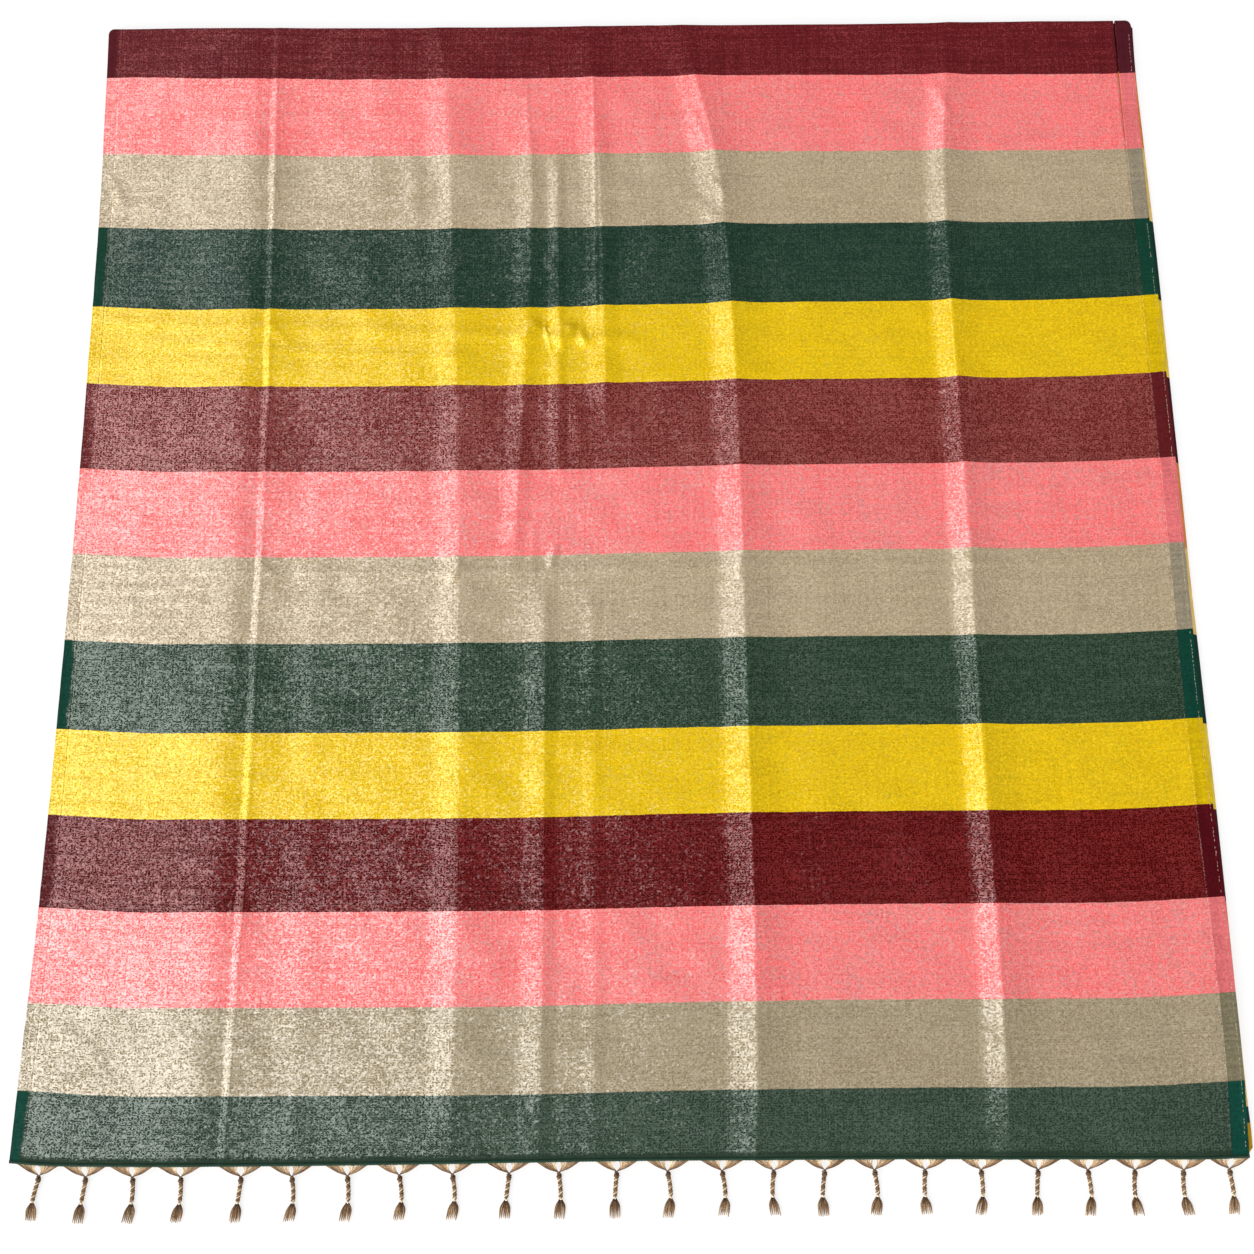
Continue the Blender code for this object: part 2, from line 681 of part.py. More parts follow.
def tassel_body(bm, point_at):
    """Upper knot, twisted cord and lower knot as one run of six-sided rings."""
    rings = []
    for section in TASSEL_BODY:
        middle = TASSEL_CLEAR / MM + section["half_height"]
        ring = []
        for corner in range(BODY_SIDES):
            angle = 2 * math.pi * corner / BODY_SIDES
            side = section["half_width"] * math.cos(angle)
            height = middle + section["half_height"] * math.sin(angle) / math.cos(math.pi / BODY_SIDES)
            ring.append(bm.verts.new(point_at(section["down"], side, height)))
        rings.append(ring)
    bridge(bm, rings)
    return rings[0], rings[-1]


def fan_strands(across, front):
    """Sections of the hem threads, which end on the hem's face."""
    strands = []
    for end in FAN_ENDS:
        hem = hem_front(min(1.0, max(0.0, across + end * MM / CLOTH_WIDTH)))
        side = (hem.x - front.x) / MM
        down = (front.y - hem.y + SEAM) / MM
        strands.append([(down, side - FAN_HALF_WIDTH, side + FAN_HALF_WIDTH, hem.z / MM)])
    return strands


def tuft_strands(draw, tuft_end):
    """Sections of the tuft's cut threads, uneven in length and height."""
    strands = []
    low = TASSEL_CLEAR / MM + STRAND_HALF_HEIGHT
    for end in TUFT_ENDS:
        tip = tuft_end - draw.uniform(0.0, STRAND_UNEVEN)
        middle = end * TUFT_MIDDLE_SPREAD
        strands.append([
            (TUFT_MIDDLE, middle - TUFT_HALF_WIDTH, middle + TUFT_HALF_WIDTH, low + draw.uniform(0.4, 1.1)),
            (tip, end - TUFT_HALF_WIDTH, end + TUFT_HALF_WIDTH, low + draw.uniform(0.1, 0.9)),
        ])
    return strands


def make_tassel(number, tassel, finishes, parent):
    """Hem threads drawn into a knot, a cord, a second knot and a short cut tuft."""
    draw = random.Random(number)
    across = tassel["across"]
    front = hem_front(across)
    location = Vector((front.x, front.y, 0.0))
    body_start = TASSEL_BODY[0]["down"]
    tuft_end = TASSEL_REACH / MM - draw.uniform(0.0, TUFT_UNEVEN)

    def point_at(down, side, height):
        share = max(0.0, (down - body_start) / (tuft_end - body_start))
        drift = tassel["lean"] * share + tassel["sway"] * math.sin(math.pi * share)
        return Vector(((side + drift) * MM, -down * MM, height * MM))

    fan = fan_strands(across, front)
    tuft = tuft_strands(draw, tuft_end)
    bm = bmesh.new()
    head_ring, tuft_ring = tassel_body(bm, point_at)
    tassel_strands(bm, head_ring, strand_sections(len(fan), FAN_ROOT, fan), point_at)
    tassel_strands(bm, tuft_ring, strand_sections(len(tuft), TUFT_ROOT, tuft), point_at)
    place("tassel_{:02d}".format(number), bm, location, finishes, thread_colour, parent)


def make_tassels(finishes, parent):
    for number, tassel in enumerate(TASSELS, start=1):
        make_tassel(number, tassel, finishes, parent)


def main():
    clear_scene()
    finishes = make_materials()
    saree = bpy.data.objects.new("saree", None)
    bpy.context.scene.collection.objects.link(saree)
    make_hidden_layers(finishes, saree)
    make_panel(finishes, saree)
    make_selvedges(finishes, saree)
    make_hem(finishes, saree)
    make_tassels(finishes, saree)


main()
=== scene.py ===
"""Looks of the folded chanderi saree: striped tissue weave, selvedges, hem and tassels.

Metres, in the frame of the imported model: X across the loom width, +Y from the tasselled
hem to the top fold, +Z up. "Across" is a share of the width from the left edge, "down" a
share of the panel from the top fold to the hem.
"""
import math
from collections import namedtuple

import bmesh
import bpy
import numpy as np
from mathutils import Matrix, Vector


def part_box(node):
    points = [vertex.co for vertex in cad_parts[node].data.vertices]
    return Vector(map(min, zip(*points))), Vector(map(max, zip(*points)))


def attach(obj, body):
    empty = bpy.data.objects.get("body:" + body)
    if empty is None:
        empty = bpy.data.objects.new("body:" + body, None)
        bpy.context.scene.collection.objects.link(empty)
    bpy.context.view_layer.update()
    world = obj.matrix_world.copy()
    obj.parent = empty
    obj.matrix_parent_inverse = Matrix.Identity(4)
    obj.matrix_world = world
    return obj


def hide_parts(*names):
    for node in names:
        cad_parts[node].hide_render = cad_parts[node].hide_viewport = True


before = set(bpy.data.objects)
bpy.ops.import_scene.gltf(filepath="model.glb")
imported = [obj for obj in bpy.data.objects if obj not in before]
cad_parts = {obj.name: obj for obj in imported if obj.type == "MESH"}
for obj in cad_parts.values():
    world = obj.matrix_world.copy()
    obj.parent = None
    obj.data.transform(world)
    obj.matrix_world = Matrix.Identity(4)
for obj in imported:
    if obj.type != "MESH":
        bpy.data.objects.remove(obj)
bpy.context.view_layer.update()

MM = 0.001
BODY = "root"


def table(columns, *rows, defaults=()):
    """Rows whose columns have these names."""
    row = namedtuple("Row", columns, defaults=defaults)
    return tuple(row(*values) for values in rows)


def named_table(columns, *rows):
    """The same, as a dictionary by the first column."""
    return {row[0]: row for row in table(columns, *rows)}


# Stripes from the top fold down to the hem: length in mm, and the share of the weave that
# metallic flecks cover
STRIPES = table(
    "colour length flecks",
    ("maroon", 63.3, 0.14),
    ("pink", 94, 0.36),
    ("beige", 87, 0.45),
    ("green", 91.9, 0.24),
    ("yellow", 87.5, 0.46),
    ("russet", 94.1, 0.35),
    ("pink", 91.8, 0.4),
    ("beige", 90.2, 0.46),
    ("pine", 90.3, 0.34),
    ("yellow", 84.8, 0.48),
    ("wine", 89, 0.33),
    ("pink", 88.8, 0.42),
    ("sand", 79.9, 0.48),
    ("slate", 64.9, 0.35),
)
PANEL_LENGTH = sum(row.length for row in STRIPES) * MM

# Linear colours of the stripes in thousandths: the silk ground, the flecks of metallic weft
# and how much they sparkle, the plain selvedge and how bare of flecks the left one is, and
# the edges of the folded layers (slate's is the hem's own colour). The folded layers' edge
# colours hold painted light and shade: lighter than the cloth on the pink, beige, yellow and
# mustard stripes, with pink turned orange and beige golden, and darker on the red ones.
PALETTE = named_table(
    "colour ground zari shine plain bare edge",
    ("maroon", (90, 7, 10), (300, 45, 48), 0.26, (64, 9, 15), 0.5, (60, 4, 10)),
    ("russet", (106, 8, 8), (360, 92, 78), 0.58, (95, 10, 12), 0.5, (60, 4, 10)),
    ("wine", (60, 1, 1), (235, 18, 18), 0.56, (70, 3, 6), 0.5, (70, 4, 10)),
    ("pink", (880, 130, 130), (1000, 360, 345), 0.74, (640, 145, 150), 0.1, (850, 300, 65)),
    ("beige", (340, 258, 157), (630, 510, 335), 0.8, (240, 205, 142), 0.2, (1000, 680, 220)),
    ("sand", (262, 206, 122), (535, 443, 295), 0.86, (175, 152, 92), 0.2, (1000, 680, 220)),
    ("green", (8, 29, 18), (50, 92, 58), 0.52, (6, 42, 25), 1, (5, 36, 24)),
    ("pine", (11, 29, 16), (66, 114, 70), 0.62, (4, 42, 27), 1, (5, 36, 24)),
    ("slate", (19, 36, 22), (88, 132, 94), 0.54, (5, 50, 34), 1, (15, 44, 27)),
    ("yellow", (690, 420, 1), (930, 640, 8), 0.5, (550, 370, 3), 0.2, (1000, 720, 80)),
    ("mustard", (500, 260, 3), (500, 260, 3), 0, (500, 260, 3), 1, (600, 310, 4)),
)
METAL = 0.3
WHITE = (1.0, 1.0, 1.0, 1.0)
WORN_LIGHT = (1.0, 0.93, 0.85, 1.0)
BLOTCH_DARK = (0.25, 0.22, 0.22, 1.0)

# Thread colours from dark to light: the tone from 0 to 1, the linear colour in thousandths,
# and the alpha
SILK_TONES = (
    (0, (40, 18, 7), 1),
    (0.35, (150, 82, 38), 1),
    (0.65, (420, 275, 150), 1),
    (1, (900, 740, 520), 1),
)
# Stitch tones from dark, for painted shade, to pale, for a painted highlight
STITCH_TONES = ((0, (30, 16, 12), 1), (1, (900, 760, 600), 1))

# Noises of the materials: cells for each metre across and down, and their finer detail
NOISES = named_table(
    "name across down detail",
    ("wobble", 60, 25, 3),
    ("ragged", 900, 60, 1),
    ("stray", 30, 55, 3),
    ("fine", 360, 450, 1.6),
    ("slubs", 8, 240, 2),
    ("picks", 12, 430, 2),
    ("ends", 430, 10, 2),
    ("patches", 14, 11, 3),
    ("plain_slubs", 90, 900, 2),
    ("blotch", 160, 60, 3),
    ("strand", 900, 900, 2),
)
STRIPE_WOBBLE = 0.7 * MM
STRIPE_RAGGED = 0.4 * MM
SELVEDGE_STRAY = 4.0 * MM

# Flecks: the width of the noise's band that they fill, how uneven each noise makes it, what
# it loses where the weave is plain, and how they blur, vary in lightness and tilt
FLECK_WIDTH = 0.16
FLECK_UNEVEN = (("slubs", 0.07), ("picks", 0.05), ("ends", 0.05), ("patches", 0.07))
PLAIN_LOSS = 0.09
FLECK_BLUR = 0.024
FLECK_LIGHT = 0.25
THREAD_LIGHT = 0.14
TILT_ACROSS = 0.28
TILT_DOWN = 0.50

# How far the cloth's side edges stray to the right of straight, in mm
EDGES = table(
    "down left right",
    (0, 1, -4),
    (0.08, 4.2, -5.2),
    (0.18, 7.6, -4.6),
    (0.3, 9.2, -3.3),
    (0.45, 10, -1.6),
    (0.65, 8.9, -0.6),
    (0.75, 7.6, 2.2),
    (0.85, 4.9, 4.9),
    (0.94, 1.3, 5.4),
    (1, -0.6, 3.2),
)

# Sizes of the model, and its places, read from the frame
CLOTH_WIDTH = 1140 * MM
LEFT_SELVEDGE = 12.5 * MM
RIGHT_SELVEDGE = 17.0 * MM
SELVEDGE_BORDER = 0.15 * MM
SELVEDGE_RAISED = 0.05 * MM
PANEL_OVERLAP = 0.6 * MM
STITCH_INSET = 3.2 * MM
STITCH_RAISED = 0.22 * MM
STITCH_RADIUS = 0.15 * MM
HALF_WALL = 0.6 * MM
HEM_DEPTH = 3.0 * MM
HEM_HEIGHT = 1.9 * MM
HEM_COVER = 0.6
HEM_STITCH = 3.0 * MM
HEM_SWELL = 0.07
HEM_RINGS = 1500
HEM_SIDES = 10
FOLD_RADIUS = 1.05 * MM
CORNER_RADIUS = 6 * MM
CORNER_FADE = 60
RETURN_LENGTH = 20 * MM
hem_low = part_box("hem_roll")[0]
stack_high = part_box("hidden_layers")[1]
CLOTH_LEFT = hem_low[0] - EDGES[-1].left * MM
HEM_Y = hem_low[1]
FOLD_Y = HEM_Y + PANEL_LENGTH
FOLD_CENTRE_Y = FOLD_Y - FOLD_RADIUS - HALF_WALL
PANEL_MID_Z = stack_high[2] + 1.0 * MM

# The lines of stitches: place across, share of the stitches kept, and tone. The dark left
# line is painted shade at the left selvedge's inner edge, the pale right one a painted
# highlight near the right edge.
STITCH_LINES = (
    (LEFT_SELVEDGE / CLOTH_WIDTH, 0.35, 0.25),
    (1 - STITCH_INSET / CLOTH_WIDTH, 0.75, 0.50),
)

# Where the weave turns plain: from and to, across at the sides and down at the hem
LEFT_PLAIN = (8.0 * MM, 12.0 * MM)
RIGHT_PLAIN = (CLOTH_WIDTH - 16.5 * MM, CLOTH_WIDTH - 15.5 * MM)
HEM_PLAIN = (PANEL_LENGTH - 9 * MM, PANEL_LENGTH - 4 * MM)

# How finely the cloth is divided; a shell's inner face has every third row and column
RETURN_ROWS = 5
FOLD_ROWS = 11
PANEL_ROWS = 298
PANEL_COLUMNS = 289
SELVEDGE_ROWS = 601
SELVEDGE_COLUMNS = 11
STITCH_ROWS = 421
LAYER_ROWS = 61
TURN_ROWS = 9
SHELL_EVERY = 3
# The panel's columns lie closer together at each fold: how much, and how far around it. So
# they do at two other places across, which come first in their rows.
FOLD_CROWDING = (2.5, 0.014)
OTHER_CROWDING = ((0.45, 1.0, 0.03), (0.0, 0.8, 0.08))

# Soft pressed folds of the panel: places across the cloth at four stations down it, height
# and the reach of their flanks in mm, where along the panel they start and end, and how
# sharp the crest is from 0 to 1
CREASE_STATIONS = (("top", 0.0), ("upper", 0.17), ("middle", 0.55), ("hem", 1.0))
CREASES = table(
    "name top upper middle hem height left right start end sharp",
    ("left", 0.166, 0.1665, 0.1705, 0.172, 2.4, 5, 46, 0, 1, 1),
    ("second", 0.329, 0.337, 0.35, 0.356, 2.6, 28, 58, 0, 1, 0.5),
    ("third", 0.404, 0.414, 0.398, 0.4, 1.7, 20, 16, 0.08, 0.55, 0.7),
    ("fourth", 0.427, 0.427, 0.427, 0.4275, 1.5, 24, 14, 0.5, 1, 0.5),
    ("short", 0.47, 0.48, 0.483, 0.483, 2.1, 23, 18, 0, 0.42, 0.7),
    ("main", 0.562, 0.595, 0.6045, 0.604, 4.4, 29, 40, 0, 1, 1),
    ("right", 0.822, 0.808, 0.8075, 0.807, 5.2, 24, 40, 0, 1, 1),
    ("edge", 0.98, 0.982, 0.983, 0.983, 1.4, 38, 12, 0.68, 1, 0.3),
)
# How far the crests wander, in mm, and shares that shape the folds and ease them at the
# top fold and the hem
CREASE_WANDER = 0.6
CREASE_SOFT_END = 0.08
SHARP_FOOT = 0.12
FALL_POWER = 1.7
EASE_AT_FOLD = 0.35
EASE_FROM_FOLD = 0.12
EASE_AT_HEM = 0.55
EASE_TO_HEM = 0.10

# Lesser folds, troughs and wrinkles. Start and end are places on the cloth in mm, across
# from the left edge and down from the top fold; height, the reach to the left and right
# (up and down for a level one) and the bend are in mm too.
MARK_COLUMNS = "start end height left right bend"
LONG_MARKS = table(
    MARK_COLUMNS,
    ((160, -60), (164, 1260), 2.6, 110, 40),
    ((60, -60), (66, 1260), 0.5, 18, 26),
    ((250, 520), (262, 1260), 0.5, 26, 22),
    ((300, -60), (296, 460), 0.4, 22, 26),
    ((344, 150), (346, 246), 0.9, 20, 12),
    ((372, 165), (370, 236), -1, 11, 11),
    ((501, 150), (500, 530), 1.4, 14, 8),
    ((541, 40), (540, 360), 0.5, 3, 3),
    ((466, 60), (470, 160), 0.4, 4, 5),
    ((512, 420), (520, 530), 0.6, 12, 10, 4),
    ((474, 560), (473, 640), 0.5, 10, 7),
    ((534, 640), (538, 1260), 0.5, 15, 12),
    ((573, -30), (640, 58), 0.9, 9, 9, 6),
    ((640, 196), (688, 246), 1, 16, 12, -6),
    ((694, 246), (790, 150), 0.9, 14, 20, -10),
    ((605, 60), (600, 300), 0.35, 16, 18),
    ((760, 300), (764, 1260), 0.3, 22, 24),
    ((905, 50), (932, 130), 0.9, 14, 8, 4),
    ((995, -20), (1100, 56), 1.3, 22, 16, 6),
    ((1010, 380), (1006, 1260), 0.3, 30, 26),
    ((362, -20), (380, 60), 0.9, 12, 10),
    ((0, 627), (1140, 627), 0.7, 5, 7, 1.5),
    ((0, 352), (600, 378), 0.8, 9, 11, 4),
    ((60, 372), (420, 392), 0.7, 6, 8, -3),
    ((0, 165), (30, 240), 1.1, 10, 10, 3),
    ((8, 538), (96, 590), 0.6, 8, 10, 4),
    ((4, 562), (84, 606), 0.5, 7, 8, 5),
    ((0, 610), (120, 622), 0.9, 6, 7, 3),
    ((6, 646), (160, 634), 1, 6, 7, -3),
    ((4, 662), (150, 650), 1, 6, 7, -3),
    ((2, 678), (140, 668), 0.9, 6, 7, -2),
    ((0, 694), (120, 686), 0.8, 6, 7, -2),
    ((0, 768), (70, 788), 0.9, 7, 8, 3),
    ((4, 984), (64, 1024), 0.6, 8, 10, 4),
    ((0, 1010), (50, 1046), 0.5, 8, 9, 4),
    ((12, 1062), (96, 1128), 0.5, 9, 12, 5),
    ((0, 1096), (60, 1136), 0.5, 8, 9, 4),
    ((20, 1160), (200, 1168), 0.4, 7, 8, 2),
    ((940, 972), (1140, 966), 0.35, 5, 6, 1),
    ((930, 990), (1140, 984), 0.35, 5, 6, 1),
    ((950, 1012), (1140, 1004), 0.35, 5, 6, 1),
    ((930, 1034), (1140, 1028), 0.35, 5, 6, 1),
    ((700, 640), (900, 636), 0.3, 5, 6, 1),
    ((1105, 470), (1140, 560), 0.5, 10, 8, -3),
    defaults=(0,),
)
SHORT_MARKS = table(
    MARK_COLUMNS,
    ((186, 272), (194, 300), 0.5, 4, 4),
    ((482, 280), (500, 288), 1.1, 4, 4),
    ((486, 292), (498, 276), 0.9, 3, 4),
    ((478, 302), (490, 316), 0.7, 4, 4),
    ((468, 356), (498, 372), 1.3, 5, 5),
    ((519, 355), (502, 386), 3.2, 24, 4),
    ((520, 356), (530, 384), 1.4, 6, 5),
    ((482, 350), (454, 382), 1.8, 12, 10),
    ((512, 372), (540, 378), 1.2, 5, 5),
    ((484, 352), (492, 388), 1.2, 4, 4),
    ((452, 246), (462, 270), 0.7, 5, 4),
    ((190, 356), (216, 376), 0.7, 6, 6),
    ((402, 612), (390, 638), 1.4, 6, 5),
    ((398, 606), (386, 640), 0.8, 4, 4),
    ((498, 598), (488, 622), 1.3, 6, 5),
    ((500, 600), (490, 626), 0.7, 4, 5),
    ((192, 612), (214, 634), 0.7, 5, 5),
    ((688, 614), (682, 640), 1.2, 5, 4),
    ((906, 612), (926, 632), 0.8, 4, 5),
    ((650, 108), (664, 150), 0.5, 5, 5),
    ((664, 186), (684, 214), 0.7, 6, 5),
    ((918, 90), (934, 120), 0.6, 6, 5),
    ((180, 176), (196, 206), 0.5, 5, 6),
    defaults=(0,),
)
LONG_SOFT_END = 34
SHORT_SOFT_END = 8

# Soft unevenness of the panel, broad to fine: height in mm, then for its plane waves the
# seed, the number, the lengths in metres, and how much they are drawn out along the warp.
# The other waves have a seed, a number and lengths too.
SWELLS = table(
    "height seed count shortest longest stretch",
    (0.8, 11, 9, 0.1, 0.42, 2),
    (0.7, 12, 10, 0.045, 0.11, 0.7),
    (0.4, 14, 12, 0.025, 0.05, 0.6),
)
WANDER_WAVES = (3, 5, 0.03, 0.15)
PUCKER_WAVES = (13, 8, 0.007, 0.020)
PUCKER_HEIGHT = 0.35 * MM
PUCKER_REACH = 9 * MM
PANEL_LIFT = 0.7 * MM

# The weft lines bow a little: shift along the warp in mm at shares of the width
BOW_STATIONS = (("fold", 0.0), ("top", 0.06), ("body", 0.30), ("body", 0.95), ("hem", 1.0))
BOW = table(
    "across fold top body hem",
    (0, 2, 4.5, 3.5, 4),
    (0.03, 1.8, 4.9, 1.5, 1.4),
    (0.08, 2.2, 3, -1.8, 0.4),
    (0.14, 1.6, 1.1, -2.4, 0),
    (0.25, 0.2, -0.3, -2.8, 0.2),
    (0.4, -0.4, -0.8, -2.8, 1.8),
    (0.47, 0, -0.4, -1.5, 2.6),
    (0.52, 0.2, 0.1, -0.3, 2.9),
    (0.62, -0.3, 0.4, 1, 3.1),
    (0.74, -0.5, -0.4, 1.5, 3),
    (0.88, 0.3, -1.7, 1.3, 2),
    (0.93, 0.4, -2.5, 2.3, 1.7),
    (0.965, 0.2, -2.2, 4.2, 1.6),
    (1, 0.6, -1.2, 6.5, 2.8),
)

# Hidden layers from the one below the panel down: middle height and the reach beyond the
# panel's left and right edges, all in mm
LAYERS = table(
    "z left right",
    (6.7, -1.2, 3.2),
    (4.7, -2.4, 6.4),
    (2.75, -1.4, 5.4),
    (0.75, -2.8, 3.9),
)
LAYER_HALF = 0.45 * MM
# Where the hidden layers start and end and where they turn, in mm inside the panel's edge
LAYER_START = 24.8
LAYER_TURNS = (1.8, 1.0, 2.8)
LAYER_END = 7.0
# How their edges stray, in mm, and how they lift, less so in the turns
LAYER_STRAY = 0.4
RIGHT_WAVES = (21, 6, 0.08, 0.4)
LEFT_WAVES = (22, 6, 0.08, 0.4)
LAYER_LIFT = 0.28 * MM
LIFT_WAVES = (23, 8, 0.06, 0.3)
TURN_LOOSE = 0.3
LAYER_CORNER = 18 * MM
# The share of the right edges' reach that shows down the cloth
RIGHT_REACH_ALONG = table(
    "down share",
    (0, 0.48),
    (0.05, 0.42),
    (0.12, 0.62),
    (0.25, 0.82),
    (0.4, 0.68),
    (0.52, 0.66),
    (0.66, 0.88),
    (0.76, 0.6),
    (0.84, 0.34),
    (0.92, 0.32),
    (0.962, 0.52),
    (0.98, 0.74),
    (1, 0.85),
)
# Stripes of the hidden layers' edges: as the panel's but for the last ones
HIDDEN_STRIPES = STRIPES[:12] + table(
    "colour length flecks",
    ("beige", 100, 0),
    ("green", 15, 0),
    ("mustard", 27, 0),
)

# Tassels along the hem: the knot's place as a share of the width, how far the tuft leans
# sideways and how far the cord bends aside between them, in mm
TASSELS = table(
    "across lean sway",
    (0.023, -5.5, -1.7),
    (0.061, -5.3, -0.1),
    (0.099, -3.6, 2.1),
    (0.138, -3.6, 2),
    (0.187, -5, 0.2),
    (0.228, -2, 2.9),
    (0.273, -2.2, 2.4),
    (0.315, -0.6, 2.8),
    (0.358, -0.9, 2.8),
    (0.404, -4.3, -0.4),
    (0.444, 0.1, 1.8),
    (0.491, -2, -0.8),
    (0.532, -0.4, 2.8),
    (0.576, 0.3, 2.5),
    (0.618, 1, -2.4),
    (0.659, -2, -1.6),
    (0.699, -0.4, 2.5),
    (0.74, 0.3, -1.5),
    (0.785, -2.7, 2.1),
    (0.831, -2.9, -0.6),
    (0.871, -0.4, 2.2),
    (0.909, 1.3, -2.1),
    (0.948, 2.9, -2.2),
    (0.985, 0.9, 1.6),
)
TASSEL_REACH = 51.0 * MM
TASSEL_START = 10.4 * MM
CROSSING_DOWN = 9.2 * MM
CORD_FROM = 15.0 * MM
CORD_TO = 31.0 * MM
TUFT_FROM = 33.6 * MM
# A tassel's knots: place below the hem, radius and length in mm, and tone
KNOTS = named_table(
    "name down radius length tone",
    ("knot", 12.8, 2.8, 4.8, 0.3),
    ("bead", 32.4, 1.6, 1.8, 0.97),
)
KNOT_HEIGHT = 2.8 * MM
# Plies of the cord: turn, tone, distance from the middle and radius in mm
PLIES = (
    (0.0, 0.26, 1.0, 1.15),
    (math.pi, 0.38, 1.0, 1.15),
    (math.pi / 2, 0.88, 1.75, 0.42),
)
TUFT_LOCKS = 6
LOCK_STRANDS = 6
# Tones down a tuft's strands, darkest at the top as painted shade where they are gathered under the bead
TUFT_TONES = np.array([0.08, 0.18, 0.32, 0.40, 0.46, 0.52, 0.60])
TUFT_RADII = np.array([0.50, 0.52, 0.52, 0.50, 0.46, 0.42, 0.30]) * MM
FAN_INSET = 1.2
FAN_REACH = 19.6
FAN_STRANDS = 20

# The photograph's camera, fitted to the corners of the cloth: angle of view and turns in
# degrees, and its place from the hem's middle in metres
VIEW_ANGLE = 46
CAMERA_TURNS = (1.361, 13.553, -1.758)
CAMERA_ASIDE = 11.76 * MM
CAMERA_ALONG = 162.65 * MM
CAMERA_HEIGHT = 1.44859

# Light from the sky: along which axis, where it starts and ends, its strength there, and
# how it changes between
SKY = table(
    "name axis start end low high kind",
    ("left", 0, -0.06, -0.3, 0, 2.1, "SMOOTHSTEP"),
    ("nearness", 1, -0.3, 0.65, 1.2, 0.6, "LINEAR"),
    ("near", 1, -0.6, -0.8, 0.06, 3.1, "SMOOTHSTEP"),
    ("right", 0, 0.78, 0.92, 0, 1.6, "SMOOTHSTEP"),
)
FLOOR_HALF = 6.0


# Shapes by number


def smooth(t):
    t = np.clip(t, 0.0, 1.0)
    return t * t * (3 - 2 * t)


def curve_through(places, values, place):
    """Values at places on a smooth curve through points; values may be vectors."""
    places = np.asarray(places, dtype=float)
    values = np.asarray(values, dtype=float)
    index = np.arange(len(places))
    before = np.maximum(index - 1, 0)
    after = np.minimum(index + 1, len(places) - 1)
    spread = (places[after] - places[before]).reshape((-1,) + (1,) * (values.ndim - 1))
    slopes = (values[after] - values[before]) / spread
    place = np.clip(place, places[0], places[-1])
    low = np.clip(np.searchsorted(places, place, side="right") - 1, 0, len(places) - 2)
    step = places[low + 1] - places[low]
    t = (place - places[low]) / step
    if values.ndim > 1:
        step = step[..., None]
        t = t[..., None]
    eased = values[low] + (values[low + 1] - values[low]) * t * t * (3 - 2 * t)
    return eased + slopes[low] * step * t * (1 - t) ** 2 - slopes[low + 1] * step * t * t * (1 - t)


def column(rows, name):
    return [getattr(row, name) for row in rows]


def read(rows, key, name, place):
    """Values of a table's column at places along its key column."""
    return curve_through(column(rows, key), column(rows, name), place)


def waves(across, down, seed, count, shortest, longest, stretch=1.0):
    """Soft unevenness between -1 and 1, as a sum of plane waves of these lengths in metres."""
    draw = np.random.default_rng(seed).uniform
    total = np.zeros(np.broadcast(across, down).shape)
    for index in range(count):
        length = draw(shortest, longest)
        turn = draw(0, 2 * math.pi)
        phase = draw(0, 2 * math.pi)
        x = across * CLOTH_WIDTH * math.cos(turn)
        y = down * PANEL_LENGTH * math.sin(turn) / stretch
        total = total + np.sin(2 * math.pi * (x + y) / length + phase)
    return total / count


def side_x(side, down):
    """Place of the cloth's left or right edge at a share of the way down the panel."""
    return CLOTH_LEFT + read(EDGES, "down", side, down) * MM + (CLOTH_WIDTH if side == "right" else 0.0)


def x_at(across, down):
    left = side_x("left", down)
    return left + across * (side_x("right", down) - left)


def crease_line(crease, down):
    places = [station for name, station in CREASE_STATIONS]
    values = [getattr(crease, name) for name, station in CREASE_STATIONS]
    return curve_through(places, values, down)


def crease_window(crease, down):
    """Fades a crease in and out where it starts and ends on the panel."""
    opened = 1.0 if crease.start == 0.0 else smooth((down - crease.start) / CREASE_SOFT_END)
    closed = 1.0 if crease.end == 1.0 else smooth((crease.end - down) / CREASE_SOFT_END)
    return opened * closed


def ridge(crease, across, down, wander):
    """Height of one fold in metres, its crest wandering by a few tenths of a millimetre."""
    offset = (across - crease_line(crease, down)) * CLOTH_WIDTH / MM + wander
    reach = np.where(offset < 0, crease.left, crease.right)
    rise = np.clip(1 - np.abs(offset) / reach, 0, 1)
    straight = (np.hypot(rise, SHARP_FOOT) - SHARP_FOOT) / (math.hypot(1, SHARP_FOOT) - SHARP_FOOT)
    sharp = np.where(offset < 0, straight, rise ** FALL_POWER)
    profile = (1 - crease.sharp) * smooth(rise) + crease.sharp * sharp
    return crease.height * MM * profile * crease_window(crease, down)


def mark_height(mark, across, down, soft_end):
    """Height of one lesser fold in metres."""
    start = np.array(mark.start, dtype=float)
    run = np.array(mark.end, dtype=float) - start
    length = float(np.hypot(*run))
    x = across * CLOTH_WIDTH / MM - start[0]
    y = down * PANEL_LENGTH / MM - start[1]
    share = np.clip((x * run[0] + y * run[1]) / length ** 2, 0, 1)
    offset = (x * run[1] - y * run[0]) / length - mark.bend * 4 * share * (1 - share)
    reach = np.where(offset < 0, mark.left, mark.right)
    profile = smooth(1 - np.abs(offset) / reach)
    ends = smooth(share * length / soft_end) * smooth((1 - share) * length / soft_end)
    return mark.height * MM * profile * ends


